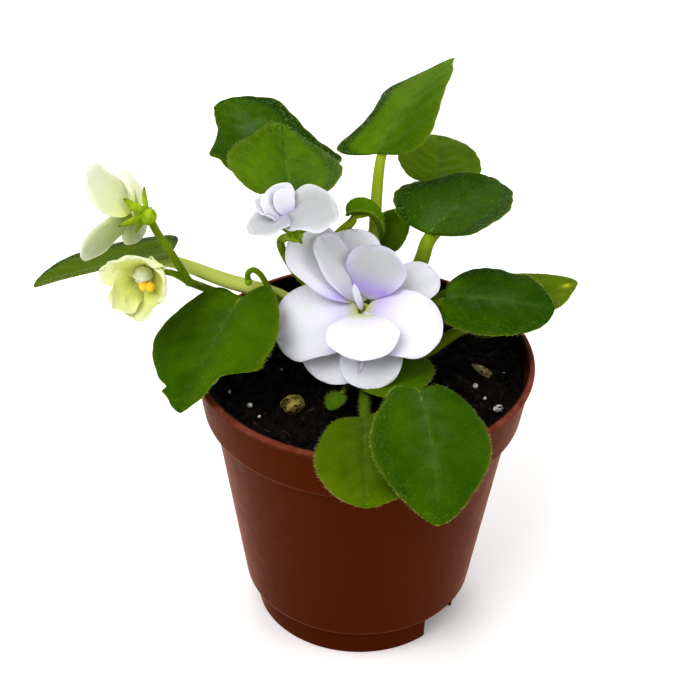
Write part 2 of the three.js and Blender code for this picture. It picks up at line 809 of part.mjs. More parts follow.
// The pair of anthers in the bud, joined at their tips, on their filament
function antherSolid(swell = 0) {
  const { side, up } = flowerFrame(...flowers.bud.facing);
  const centre = vector(flowers.bud.throat).addScaledVector(up, 5).addScaledVector(side, 1.6);
  const radius = FILAMENT_RADIUS + swell;
  const parts = [-0.7, 0.7].map((share) => {
    const place = centre.clone().addScaledVector(side, share * ANTHER_RADIUS);
    return lump(place, ANTHER_RADIUS + swell, 0.9, side);
  });
  const foot = centre.clone().addScaledVector(up, -4.5 - swell);
  return joined([...parts, stem([centre, foot], radius, radius, 2)]);
}

// A loose lump on the soil: an icosahedron stretched along each axis and turned
function grainSolid(grain, swell = 0) {
  const shape = new THREE.IcosahedronGeometry(1, 1);
  const [length, width, height] = grain.size.map((size) => size / 2 + swell);
  shape.scale(length, width, height).rotateZ(radians(grain.heading));
  shape.rotateY(radians(grain.tilt)).translate(...grain.centre);
  return solidOf(shape);
}

const grains = {
  pale_lump: { centre: [-18, -16.7, 75.4], size: [6.4, 5.8, 5], heading: 20, tilt: 8 },
  bark_chip: { centre: [31.6, 0.4, 75.6], size: [6.5, 3, 2.4], heading: -35, tilt: 12 },
  perlite_grain: { centre: [34.9, -15.4, 75], size: [2.6, 2.2, 2], heading: 10, tilt: 0 },
};

const object = new THREE.Group();

function addNode(name, solid, colour, roughness) {
  const material = new THREE.MeshStandardMaterial({ color: colour, roughness, metalness: 0 });
  const mesh = new THREE.Mesh(geometryOf(solid), material);
  mesh.name = name;
  object.add(mesh);
}

const crownRoom = crownSolid(CLEARANCE);
const antherRoom = antherSolid(CLEARANCE);

// The soil, cut back round the crown and round each loose lump
function plantedSoil() {
  let soil = soilSolid().subtract(crownRoom);
  for (const grain of Object.values(grains)) {
    soil = soil.subtract(grainSolid(grain, CLEARANCE));
  }
  return soil;
}

addNode('pot', potSolid(), 0x5a2214, 0.45);
addNode('soil', plantedSoil(), 0x17110c, 0.95);
addNode('pale_lump', grainSolid(grains.pale_lump), 0x9a8c4a, 0.9);
addNode('bark_chip', grainSolid(grains.bark_chip), 0xb08a62, 0.9);
addNode('perlite_grain', grainSolid(grains.perlite_grain), 0xd8d4c8, 0.9);
addNode('crown', crownSolid(), 0x4a5a1c, 0.8);
for (const [name, leaf] of Object.entries(leaves)) {
  addNode(name, leafSolid(leaf).subtract(crownRoom), 0x4c7a12, 0.55);
}
addNode('stalk_middle', middleStalk().subtract(crownRoom), 0x7d9a2c, 0.6);
addNode('stalk_left', leftStalk().subtract(crownRoom), 0x7d9a2c, 0.6);
addNode('young_shoot', youngShoot().subtract(crownRoom), 0x6a8c24, 0.6);
addNode('corolla_open', corollaSolid(flowers.open), 0xe8e6f2, 0.6);
addNode('corolla_upper', corollaSolid(flowers.upper), 0xdedcea, 0.6);
addNode('corolla_nodding', corollaSolid(flowers.nodding), 0xe2e8c8, 0.6);
addNode('corolla_bud', corollaSolid(flowers.bud).subtract(antherRoom), 0xe0e8b0, 0.6);
addNode('anthers_bud', antherSolid(), 0xe8b020, 0.6);

// The origin: the middle of the foot of the bounding box
const box = new THREE.Box3().setFromObject(object);
const middle = box.getCenter(new THREE.Vector3());
for (const mesh of object.children) {
  mesh.geometry.translate(-middle.x, -middle.y, -box.min.z);
}

export default object;
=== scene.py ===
"""Dresses the potted African violet: pot, soil, leaves, stalks and flowers, with a plain stage."""
import math

import bpy
import numpy as np
from bpy.props import FloatProperty, FloatVectorProperty, IntProperty, PointerProperty
from mathutils import Matrix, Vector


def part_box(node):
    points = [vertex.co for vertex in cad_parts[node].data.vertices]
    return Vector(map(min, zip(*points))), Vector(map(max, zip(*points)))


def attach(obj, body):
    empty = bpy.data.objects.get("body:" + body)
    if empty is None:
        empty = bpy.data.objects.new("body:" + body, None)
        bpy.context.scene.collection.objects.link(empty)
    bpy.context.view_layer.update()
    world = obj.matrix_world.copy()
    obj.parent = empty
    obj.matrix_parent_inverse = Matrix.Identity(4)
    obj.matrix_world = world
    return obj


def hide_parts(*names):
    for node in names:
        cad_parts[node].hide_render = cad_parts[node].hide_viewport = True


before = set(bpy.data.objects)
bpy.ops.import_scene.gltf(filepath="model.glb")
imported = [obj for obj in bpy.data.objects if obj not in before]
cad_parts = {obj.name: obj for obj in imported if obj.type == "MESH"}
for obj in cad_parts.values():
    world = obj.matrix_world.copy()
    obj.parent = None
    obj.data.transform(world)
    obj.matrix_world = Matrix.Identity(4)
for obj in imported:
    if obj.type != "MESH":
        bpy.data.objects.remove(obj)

bl_info = {
    "name": "Potted African violet",
    "version": (1, 0, 0),
    "blender": (4, 5, 0),
    "location": "3D View > Sidebar > African violet",
    "description": "Makes a flowering African violet in its nursery pot, piece by piece",
    "category": "Add Mesh",
}

# Places are millimetres from the pot's axis at the level it stands on, as in the part's source
MM = 0.001
POT_LOW, POT_HIGH = (np.array(corner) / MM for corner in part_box("pot"))
POT_AXIS = (POT_LOW + POT_HIGH) / 2 * [1, 1, 0]
TURN = 2 * math.pi

# Pot, in millimetres and degrees
POT_HEIGHT = 80.0
RIM_RADIUS = 45.0
LIP_RADIUS = RIM_RADIUS - 0.8
COLLAR_LEVEL = 65.0
COLLAR_FOOT_RADIUS = 42.2
COLLAR_LEAN = 0.14
BODY_TOP_RADIUS = 39.7
BODY_FOOT_RADIUS = 31.2
RING_HEIGHT = 9.0
RING_RADIUS = 28.0
RING_WIDTH = 1.6
WALL = 1.2
NOTCH_WIDTH = 15.0
NOTCH_HEIGHT = 7.0
NOTCH_HEADING = -32.0
HOLE_RADIUS = 3.0
HOLE_DISTANCE = 16.0
HOLE_HEADINGS = (45, 135, 225, 315)
HOLE_SIDES = 32
SHARP_EDGE = 38.0

# Soil and crown, in millimetres
SOIL_LEVEL = 74.0
SOIL_GAP = 0.4
SOIL_SIDES = 300
SOIL_RINGS = 100
BANK_WIDTH = 4.5
BANK_HEIGHT = 1.1
FIBRES = 46
FIBRE_REACH = 39.0
FIBRE_LIMIT = 40.0
FIBRE_RADII = (0.16, 0.06)
CROWN_CENTRE = (1.5, 2.0)
CROWN_RADIUS = 7.0
CROWN_DEPTH = 12.0
CROWN_HEIGHT = 12.0

# Plant, in millimetres
BLADE_THICKNESS = 0.9
PETAL_THICKNESS = 0.55
SEPAL_THICKNESS = 0.66
PETIOLE_RADIUS = 1.6
RIB_END_RADIUS = 0.45
PETIOLE_TAPER = 4
STALK_RADIUS = 1.05
SHOOT_RADII = (0.9, 0.72)
SHOOT_HAIR_LENGTH = 0.9
CALYX_RADIUS = 2.2
CLEARANCE = 0.3

# Leaf blades: a pair is for the left side and the right one, and widths and heights are
# millimetres, apart from a side vein's, which is a share of the gap between two
TEETH = (12.5, 11)
LOBE_REACH = 3.3
RIB_HALF_WIDTH = 0.75
SIDE_VEINS = 5.2
VEIN_STARTS = (0.12, 0.5)
VEIN_SWEEP = 0.36
VEIN_HALF_WIDTH = 0.085
# Half width of the painted grey sheen along a leaf's midrib, in millimetres
SHEEN_HALF_WIDTH = 4.5
RIPPLE_HEIGHT = 0.22

# Petals: waves are shares of the petal's size, and the pleats' height is millimetres
MARGIN_WAVE = 0.026
TIP_WAVE = 0.016
PLEAT_HEIGHT = 0.05
PLEATS = 7

# Hairs: how wide each is at its foot, in millimetres, and how many edge a leaf of usual length
MARGIN_HAIR_WIDTH = 0.06
NAP_HAIR_WIDTH = 0.045
STEM_HAIR_WIDTH = 0.05
MARGIN_HAIRS = 420
USUAL_LENGTH = 35.0

# Steps along and across a blade, and the length in millimetres below which it has the short grid
LEAF_GRID, SHORT_LEAF_GRID, SHORT_LEAF = (84, 46), (36, 20), 20.0
PETAL_GRID, SHORT_PETAL_GRID, SHORT_PETAL = (40, 30), (24, 14), 9.0
SEPAL_GRID = (16, 8)

# Starts of the random draws: crumbs and fibres, specks, then the first of each kind of hair
CRUMB_SEED = 11
SPECK_SEED = 21
LEAF_HAIR_SEED = 100
PETIOLE_HAIR_SEED = 200
MIDDLE_STALK_SEED = 300
LEFT_STALK_SEED = 310
SHOOT_SEED = 320

# Places of the finishes in the list of a leaf, whose blade is 0, and of a stalk, whose stem is 0
PETIOLE_FINISH = 1
CALYX_FINISH = 1
HAIR_FINISH = 2

WORLD = {
    "side": np.array([1.0, 0, 0]),
    "front": np.array([0, 1.0, 0]),
    "up": np.array([0, 0, 1.0]),
}

# Leaves, close to the part's source. Tone runs from 0, deep green, to 1, yellow-green. Nicks are
# a side, a place along, a span and a change of width; patches, sheen spots and yellow are soft
# spots of tone, of painted grey sheen and of yellow. The margin pair sets how much painted shade
# lies in a band along the left and the right margin, where the blade curls away from the light.
LEAVES = {
    "leaf_back_left": dict(
        root=(125, 6), stations=[(-11, 22.5, 98.6)], base=(-18.5, 34, 115), heading=138.5,
        rise=19.5, roll=-5, length=32, half_width=(15, 14), lobe=(8, 6.5), belly=0.71,
        point=0.56, bend=2, twist=10, fold=(5.5, 7.5), cup=(-2, 2),
        margin=((0.04, -0.09, 0.06), (-0.08, 0.1, 0.08)),
        nicks=(("left", 0.71, 0.08, -0.2), ("left", 0.6, 0.035, 0.2), ("left", 0.93, 0.05, 0.5),
               ("right", 0.64, 0.04, 0.07)),
        sheen_spots=((0.6, 0.2, 0.22, 0.5, 0.7),),
        rim=(0.35, 0.95), tone=0.2, crenate=0.35),
    "leaf_upper_left": dict(
        root=(152, 9), stations=[(-10, 9.5, 98), (-17, 12.5, 112)], base=(-19.5, 11.5, 120.8),
        heading=98, rise=-5.5, roll=5, length=34, half_width=(16, 13), lobe=(8, 7), belly=0.68,
        point=0.7, bend=-21, twist=-17, fold=(15, 15), cup=(12, 18),
        patches=((0.35, -0.6, 0.25, 0.4, 0.3), (0.2, 0.9, 0.2, 0.3, 0.3),
                 (0.25, 0.1, 0.2, 0.35, -0.4)),
        margin=((0.075, -0.08, -0.07), (0.06, -0.1, -0.01)), rim=(0.1, 0.7), tone=0.7,
        crenate=0.15),
    "leaf_top": dict(
        root=(88, 8), stations=[(2, 19, 110)], base=(2, 24, 127), heading=63, rise=34, roll=-30,
        length=36.5, half_width=(16, 17), lobe=(1.5, 3), belly=0.68, point=0.49, bend=27,
        twist=9, fold=(0, 5.5), cup=(9, -5), margin=((-0.03, 0.16, 0.1), (-0.06, 0.03, -0.02)),
        stem_pale=0.2,
        nicks=(("left", 0.65, 0.11, 0.24), ("right", 0.27, 0.14, 0.18),
               ("right", 0.46, 0.1, 0.06), ("right", 0.78, 0.09, -0.25)),
        patches=((0.12, -0.25, 0.3, 0.35, 0.35), (0.3, 0.6, 0.25, 0.4, -0.35)),
        rim=(1, 0), tone=0.75, crenate=0.3),
    "leaf_upper_right": dict(
        root=(54, 3.2), stations=[(13.8, 16.5, 98.2), (17.5, 28, 103.5)],
        base=(18, 37, 111.6), heading=86, rise=3, roll=9, length=27, half_width=(11.5, 12),
        lobe=(4.5, 3), belly=0.75, point=0.51, bend=7, twist=6, fold=(13, 9), cup=(6, 0),
        margin=((-0.02, -0.03, 0), (0, -0.03, 0)), warm=0.1, rim=(0, 0.2), tone=1, crenate=0.3),
    "leaf_right_dark": dict(
        root=(33, 9.5), stations=[(14, 10.5, 102.3)], base=(15.5, 9, 112.2), heading=61, rise=-2,
        roll=-4, length=35.5, half_width=(13.5, 17), lobe=(1, 4), belly=0.76, point=0.37,
        bend=-3, twist=-6, fold=(14, 16), cup=(8, -5),
        margin=((0.01, -0.04, -0.07), (-0.02, 0, 0.03)), stem_radius=2.1,
        nicks=(("right", 0.62, 0.1, -0.08), ("right", 0.84, 0.09, -0.2),
               ("right", 0.36, 0.1, -0.05), ("right", 0.15, 0.06, 0.1),
               ("left", 0.27, 0.1, 0.08), ("left", 0.12, 0.08, 0.18),
               ("left", 0.58, 0.08, -0.08)),
        patches=((0.06, 0, 0.14, 0.3, 0.5),), sheen_spots=((0.3, -0.15, 0.25, 0.25, 0.5),),
        rim=(0.7, 0.8), tone=0.18, crenate=0.35),
    "leaf_right": dict(
        root=(-8, 7.5), stations=[(14, 2, 92)], base=(20.6, 3.1, 96.6), heading=-3, rise=4.5,
        roll=2, length=28.5, half_width=(13, 14), lobe=(0.5, 3), belly=0.81, point=0.41,
        bend=17, twist=-15, fold=(0, 1), cup=(-3, -5),
        margin=((-0.05, -0.015, -0.035), (-0.015, 0.015, -0.02)),
        nicks=(("left", 0.57, 0.04, -0.06), ("left", 0.68, 0.05, 0.06)),
        patches=((0.12, -0.7, 0.15, 0.5, 0.7), (0.1, 0.7, 0.15, 0.4, 0.5)),
        rim=(0.5, 0.3), tone=0.08, crenate=0.25),
    "leaf_far_right": dict(
        root=(10, 3), stations=[(15, 3, 78.6), (24.5, 5.5, 84.5)], base=(28.5, 6, 88),
        heading=32, rise=7, roll=-2, length=33.5, half_width=(15, 11), lobe=(10, 6), belly=0.71,
        point=0.51, bend=8, twist=5, fold=(6, 6.5), cup=(-1, -3),
        margin=((0, 0, 0), (0.02, -0.025, 0)),
        nicks=(("right", 0.62, 0.1, 0.17), ("left", 0.85, 0.1, -0.12)),
        warm=0.7, yellow=((0.765, 0.35, 0.035, 0.22, 1),), tone=0.95, crenate=0.2),
    "leaf_front": dict(
        root=(-60, 3.5), stations=[(9.5, -16, 78.8)], base=(13.5, -28.2, 89), heading=-78,
        rise=-5, roll=-18, length=39, half_width=(14.7, 15.2), lobe=(7, 0.5), belly=0.84,
        point=0.64, bend=30, twist=-16, fold=(1, 11.5), cup=(-4.5, -5),
        margin=((0.005, -0.11, 0.005), (-0.13, -0.1, 0.015)),
        nicks=(("left", 0.7, 0.12, -0.04),),
        patches=((0.3, 0.6, 0.2, 0.35, 0.15), (0.2, -0.5, 0.2, 0.35, 0.12)),
        yellow=((1.0, 0, 0.035, 2.0, 1), (0.03, 0, 0.05, 0.1, 1)), rim=(0.1, 0.25), tone=0.16,
        crenate=0.15),
    "leaf_front_left": dict(
        root=(-95, 3.2), stations=[(0.5, -16, 78.2)], base=(0.5, -30, 81.7), heading=-89,
        rise=1.5, roll=1, length=33.5, half_width=(16, 12), lobe=(9, 1.5), belly=0.8,
        point=0.38, bend=9, twist=-2, fold=(-0.5, -2), cup=(-3, -4),
        margin=((-0.03, 0.02, 0), (-0.1, 0, -0.01)),
        nicks=(("right", 0.52, 0.2, 0.07),),
        # Its petiole has tone 0 and no paleness: painted shade, for it lies in shade
        warm=0.6, stem_pale=0, stem_tone=0, tone=0.55, crenate=0.12),
    "leaf_left": dict(
        root=(198, 2.5), stations=[(-16, 1.5, 87.5)], base=(-32.5, 4, 94), heading=245,
        rise=-19, roll=26, length=37, half_width=(17, 16.5), lobe=(5.5, 5.5), belly=0.82,
        point=0.6, bend=8, twist=4, fold=(14.5, 9), cup=(-35, 4.5),
        margin=((0.015, -0.19, 0.02), (0.075, -0.105, 0.03)),
        nicks=(("left", 0.655, 0.028, -0.3), ("left", 0.71, 0.05, -0.28),
               ("left", 0.6, 0.04, 0.12), ("left", 0.42, 0.1, -0.04),
               ("right", 0.53, 0.12, 0.05), ("right", 0.715, 0.02, -0.14),
               ("right", 0.755, 0.018, 0.12)),
        patches=((0.25, 0.6, 0.25, 0.35, 0.25), (0.5, -0.5, 0.2, 0.3, 0.2),
                 (0.75, 0.3, 0.2, 0.5, -0.2)),
        yellow=((0.1, -0.03, 0.04, 0.07, 1),), rim=(0.1, 0.25), tone=0.42, crenate=0.2),
    "leaf_far_left": dict(
        root=(166, 5.2), stations=[(-21, 8, 91.5), (-37.3, 11.5, 95)], base=(-51.4, 14, 101),
        heading=202, rise=3, roll=15, length=37, half_width=(12, 15), lobe=(0, 7.5),
        belly=0.73, point=0.7, bend=12, twist=-5, fold=(14, 7), cup=(-5, -2),
        margin=((0, 0, 0), (-0.04, 0.05, 0.05)), stem_pale=1, stem_radius=2.1,
        nicks=(("right", 0.65, 0.12, 0.12),),
        warm=0.6, rim=(0.1, 1), tone=0.3, crenate=0.25),
    "leaf_arched": dict(
        root=(118, 12), stations=[(-6, 9, 97), (-8.8, 10.5, 107)], base=(-5.2, 11, 115.8),
        heading=0, rise=50, length=10.2, half_width=(4.2, 4.2), belly=0.85, point=0.3, bend=170,
        fold=(30, 30), cup=(10, 10), stem_radius=1.9, tone=0.8, crenate=0.08),
    "leaf_young_right": dict(
        root=(74, 6), stations=[(6, 13, 89)], base=(4.6, 19, 100.8), heading=60, rise=45,
        length=12.5, half_width=(6, 5.5), lobe=(0.5, 0.5), belly=0.8, point=0.3, bend=15,
        fold=(12, 12), cup=(10, 10), stem_radius=1, tone=1, crenate=0.1),
    "leaf_under_flower": dict(
        root=(-20, 6), stations=[], base=(6.2, -1.6, 81.3), heading=-88, rise=0, length=19.4,
        half_width=(11.8, 11.8), belly=0.8, point=0.2, bend=0, fold=(3, 3), cup=(0, 0),
        tone=0.8, crenate=0.12),
    "leaf_tiny": dict(
        root=(225, 3.5), stations=[], base=(-5.8, -16.5, 79.4), heading=240, rise=-10, length=6,
        half_width=(2.6, 2.6), belly=0.8, bend=20, fold=(5, 5), cup=(0, 0), stem_radius=0.8,
        tone=0.55, crenate=0.04),
}

# Flowers, close to the part's source. Blush is the violet at a petal's foot; shade is how
# much painted grey shade a petal gets, and tip shade how much more it gets towards the tips.
# Green is how much of the unripe green a flower keeps, and lime the yellow-green over that.
FLOWERS = {
    "open": dict(
        throat=(-0.9, -4, 96.4), facing=(-90, 56), heart=3.4, foot_lime=0.85, ruffle=1.3,
        petals=[
            dict(heading=194, rise=-8, roll=4, length=22.4, width=11, belly=1.05, bend=14,
                 cup=14, start=1, blush=0.55),
            dict(heading=338, rise=4.5, length=21.2, width=9.8, belly=1.05, bend=-2, start=0.6,
                 layer=-0.4, blush=0.75),
            dict(heading=272, rise=10, length=14.4, width=9.8, belly=1.12, bend=-4, cup=22,
                 start=1.5, layer=1.7, blush=0.4),
            dict(heading=236, rise=-9, length=17.6, width=9, belly=1.14, bend=4, layer=-3.1,
                 blush=0.2),
            dict(heading=281, rise=-4, length=17.6, width=8.3, belly=1.22, bend=7, layer=-2.2,
                 blush=0.2, shade=0.1),
            dict(heading=71, rise=38, roll=5, length=15, width=8.1, belly=1.23, bend=-10,
                 start=3.7, blush=1.0, shade=0.8),
            dict(heading=31, rise=7, length=20, width=6.3, belly=1.23, bend=7, layer=-2,
                 blush=0.5, shade=0.3),
            dict(heading=125, rise=36, roll=8, length=20, width=4.8, belly=1.3, bend=5, start=3,
                 blush=0.3, shade=0.6),
            dict(heading=136, rise=28, length=23.6, width=8, belly=1.43, bend=5, start=3.2,
                 blush=0.75, shade=0.2),
            dict(heading=102, rise=26, length=19.5, width=8, belly=1.3, bend=8, layer=-1.2,
                 blush=0.2, shade=0.3),
            dict(heading=118, rise=44, length=8.6, width=1, belly=1, bend=-28, cup=40, start=0.2,
                 blush=0.8, shade=0.2),
            dict(heading=318, rise=20, length=5.5, width=0.7, belly=1, cup=40, start=0.3,
                 blush=0.8, shade=0.2),
        ]),
    "upper": dict(
        throat=(-19.1, -2.7, 121.9), facing=(-120, 72), heart=2.6, ruffle=1.7,
        petals=[
            dict(heading=41, rise=9, roll=4, length=15, width=8, belly=1.2, bend=23,
                 start=-3, layer=0.7, blush=0.1, shade=1.0),
            dict(heading=231, rise=8, length=12.4, width=4.8, belly=1.2, start=-1, layer=0.9,
                 blush=0.2, shade=0.9),
            dict(heading=167, rise=55, length=9, width=5.6, belly=1.35, bend=-8, cup=20,
                 start=1.6, blush=0.35, shade=0.3),
            dict(heading=196, rise=44, length=9, width=3.6, belly=1.3, bend=4, cup=30, start=1.9,
                 layer=0.2, blush=0.5, shade=0.35),
            dict(heading=148, rise=62, length=8.2, width=3, belly=1.3, bend=-10, cup=30,
                 start=1, blush=0.7, shade=0.3),
        ]),
    "nodding": dict(
        throat=(-58, -2.7, 123.6), facing=(143, 0), heart=2.2, green=0.6, foot_green=0.5,
        lime=0.1, sepals=dict(length=8, half_width=1.3, rise=42, turn=54),
        petals=[
            dict(heading=52, rise=23, roll=22, length=17, width=5.8, belly=1, cup=24, start=1,
                 shade=0.5),
            dict(heading=119, rise=41, length=10.5, width=6.6, belly=1.26, bend=-7, start=1),
            dict(heading=-38, rise=22, length=17, width=5, belly=1.05, bend=2, start=1,
                 shade=1.0),
            dict(heading=-110, rise=24, length=11, width=5, belly=1.23, bend=20, start=1.4,
                 shade=0.8),
            dict(heading=178, rise=50, length=10, width=5, belly=1.2, bend=-10, start=1),
        ]),
    "bud": dict(
        throat=(-56, -5, 105.6), facing=(-97, 20), heart=2.4, green=0.95, foot_green=0.5,
        lime=0.15, ruffle=2.6, tip_shade=0.3, knob=(0.2, 1.3, 2.8),
        petals=[
            dict(heading=96, rise=44, length=17, width=7.5, belly=1.1, bend=-45, cup=40,
                 start=1.4),
            dict(heading=14, rise=33, length=15, width=6.6, belly=1.1, bend=-62, cup=45,
                 start=1.4),
            dict(heading=174, rise=23, length=10.5, width=4, belly=1, bend=0, cup=40,
                 start=1.4),
            dict(heading=228, rise=34, length=14, width=4.8, belly=1.2, bend=-58, cup=45,
                 start=1.4),
            dict(heading=276, rise=26, length=12.4, width=5, belly=1.2, bend=-50, cup=45,
                 start=1.4),
        ]),
}

# Loose grains: where and how big they are, their slot, and their colours and roughness
GRAINS = {
    "pale_lump": dict(
        centre=(-18, -16.7, 75.4), size=(6.4, 5.8, 5), heading=20, tilt=8, slot="loose_lump",
        light=(0.44, 0.35, 0.1), dark=(0.1, 0.085, 0.022), spot=(0.02, 0.013, 0.007), rough=0.1),
    "bark_chip": dict(
        centre=(31.6, 0.4, 75.6), size=(6.5, 3, 2.4), heading=-35, tilt=12, slot="bark",
        light=(0.36, 0.31, 0.18), dark=(0.13, 0.1, 0.05), spot=(0.03, 0.018, 0.01), rough=0.12),
    "perlite_grain": dict(
        centre=(34.9, -15.4, 75), size=(2.6, 2.2, 2), heading=10, tilt=0, slot="perlite",
        light=(0.75, 0.73, 0.7), dark=(0.45, 0.43, 0.4), spot=(0.05, 0.04, 0.03), rough=0.12),
}

# Small white specks on the soil: place across the pot, and size
SPECKS = [(29.4, -4.9, 1.6), (31.6, -11.2, 1.1), (40.3, -3.9, 0.8), (-29.2, -15.5, 1.7),
          (-34.8, -11.1, 1.1), (-21.6, -0.2, 0.9), (24.5, -14.2, 0.7), (37.4, 2.6, 0.8),
          (-26.4, -21.3, 0.9), (-9.5, -27.5, 0.7), (5.5, -35.0, 0.8), (26.8, 20.0, 1.2),
          (-14.0, 31.0, 1.3), (10.0, 35.5, 1.0)]

# Stage, in metres: each lamp's place, what it shines at, its size and its share of the power
LAMPS = {
    "main_lamp": ((-0.35, -0.45, 0.85), (0, 0, 0.08), 0.6, 1.0),
    "side_lamp": ((0.7, -0.25, 0.5), (0, 0, 0.08), 0.5, 0.35),
    "back_lamp": ((-0.1, 0.8, 0.7), (0, 0, 0.1), 0.6, 0.5),
}
FLOOR_RADIUS = 6.0
SENSOR_WIDTH = 36.0
SEEN_DISTANCES = (0.02, 50.0)
LOOKED_AT = (-3.7, 0, 81.5)


# Small vector sums

def unit(vectors):
    """Each vector divided by its own length."""
    return vectors / np.maximum(np.linalg.norm(vectors, axis=-1, keepdims=True), 1e-12)


def towards(heading, rise=0.0):
    """The direction at a heading, in degrees from side round to front, and a rise above them."""
    turn, lift = math.radians(heading), math.radians(rise)
    return np.array([math.cos(lift) * math.cos(turn), math.cos(lift) * math.sin(turn),
                     math.sin(lift)])


def smooth(values):
    """The S curve 3t^2 - 2t^3 of values held between 0 and 1."""
    held = np.clip(values, 0, 1)
    return held * held * (3 - 2 * held)


def lattice_noise(x, y, size, seed):
    """Random heights from 0 to 1 at the corners of a square lattice, blended by the S curve."""
    side = 128
    table = np.random.default_rng(seed).random((side, side))
    gx, gy = x / size + side / 2, y / size + side / 2
    ix, iy = np.floor(gx).astype(int), np.floor(gy).astype(int)
    fx, fy = smooth(gx - ix), smooth(gy - iy)
    low, high = (table[ix % side, row % side] * (1 - fx) + table[(ix + 1) % side, row % side] * fx
                 for row in (iy, iy + 1))
    return low * (1 - fy) + high * fy


# Grids of points made into closed skins

def grid_faces(ids):
    """The squares of a grid of point numbers; a square with two corners in one is a triangle."""
    squares = np.stack([ids[:-1, :-1], ids[:-1, 1:], ids[1:, 1:], ids[1:, :-1]], -1)
    squares = squares.reshape(-1, 4)
    a, b, c, d = squares.T
    low, high = a == b, c == d
    left, right = a == d, b == c
    whole = ~(low | high | left | right)
    three = np.concatenate([
        squares[low & ~high][:, [0, 2, 3]],
        squares[high & ~low][:, [0, 1, 2]],
        squares[left & ~low & ~high][:, [0, 1, 2]],
        squares[right & ~low & ~high][:, [0, 1, 3]],
    ])
    return squares[whole], three


def part(points, quads, triangles=(), finish=0, uv=None, **marks):
    """One closed skin of a piece. Each mark is a number for each of its points."""
    return dict(points=points, quads=np.reshape(quads, (-1, 4)).astype(int),
                triangles=np.reshape(triangles, (-1, 3)).astype(int), finish=finish, uv=uv,
                marks=marks)


def lens(middle, out, lift, half, uv, finish=0, **marks):
    """A thin sheet: its middle is lifted straight out, its faces lie half above and half below
    that, and they meet along their edges, at the first row and the last. A mark is one grid or
    number, or a grid for each face."""
    rows, columns = middle.shape[:2]
    top = np.arange(rows * columns).reshape(rows, columns)
    under = top + rows * columns
    for ids in (top, under):
        ids[0, :] = 0
        ids[-1, :] = rows * columns - 1
    under[:, 0], under[:, -1] = top[:, 0], top[:, -1]
    faces = [np.concatenate(pair) for pair in zip(grid_faces(top), grid_faces(under[:, ::-1]))]
    points = np.concatenate([(middle + (lift + side * half)[..., None] * out).reshape(-1, 3)
                             for side in (1, -1)])
    both = {name: np.broadcast_to(values, (2, rows, columns)).ravel()
            for name, values in marks.items()}
    return part(points, *faces, finish, np.concatenate([uv.reshape(-1, 2)] * 2), **both)


def ringed(rings, finish=0, uv=None, **marks):
    """Rings of points, each closed on itself, between a first and a last ring of one point. A
    mark is a grid or one number."""
    rows, columns = rings.shape[:2]
    ids = np.arange(rows * columns).reshape(rows, columns)
    ids[0, :], ids[-1, :] = 0, rows * columns - 1
    faces = grid_faces(np.concatenate([ids, ids[:, :1]], axis=1))
    flat = {name: np.broadcast_to(values, (rows, columns)).ravel()
            for name, values in marks.items()}
    return part(rings.reshape(-1, 3), *faces, finish,
                None if uv is None else uv.reshape(-1, 2), **flat)


def spikes(feet, directions, length, width):
    """Fine hairs: each is a three-sided pyramid from its foot to a tip at the hair's length."""
    ahead = unit(directions)
    other = unit(np.cross(ahead, np.where(np.abs(ahead[:, 2:]) > 0.8, [[1.0, 0, 0]],
                                          [[0, 0, 1.0]])))
    third = np.cross(ahead, other)
    corners = [feet + width / 2 * (other * math.cos(turn) + third * math.sin(turn))
               for turn in (0, TURN / 3, 2 * TURN / 3)]
    tips = feet + ahead * np.reshape(length, (-1, 1))
    points = np.stack([*corners, tips], axis=1).reshape(-1, 3)
    pattern = np.array([[0, 1, 3], [1, 2, 3], [2, 0, 3], [0, 2, 1]])
    return part(points, (), 4 * np.arange(len(feet))[:, None, None] + pattern, HAIR_FINISH)


def mesh_of(name, points, quads, triangles):
    """A mesh from points in metres. With it come the numbers of the points that its faces use,
    and for each corner of a face its place among them."""
    used, packed = np.unique(np.concatenate([quads.ravel(), triangles.ravel()]),
                             return_inverse=True)
    corners = packed.ravel()
    totals = np.repeat([4, 3], [len(quads), len(triangles)])
    mesh = bpy.data.meshes.new(name)
    mesh.vertices.add(len(used))
    mesh.vertices.foreach_set("co", points[used].astype(np.float32).ravel())
    mesh.loops.add(len(corners))
    mesh.loops.foreach_set("vertex_index", corners.astype(np.int32))
    mesh.polygons.add(len(totals))
    mesh.polygons.foreach_set("loop_start", (np.cumsum(totals) - totals).astype(np.int32))
    mesh.update(calc_edges=True)
    return mesh, used, corners


def shown(name, data):
    """A new object of the scene with that mesh, lamp or camera."""
    made = bpy.data.objects.new(name, data)
    bpy.context.scene.collection.objects.link(made)
    return made


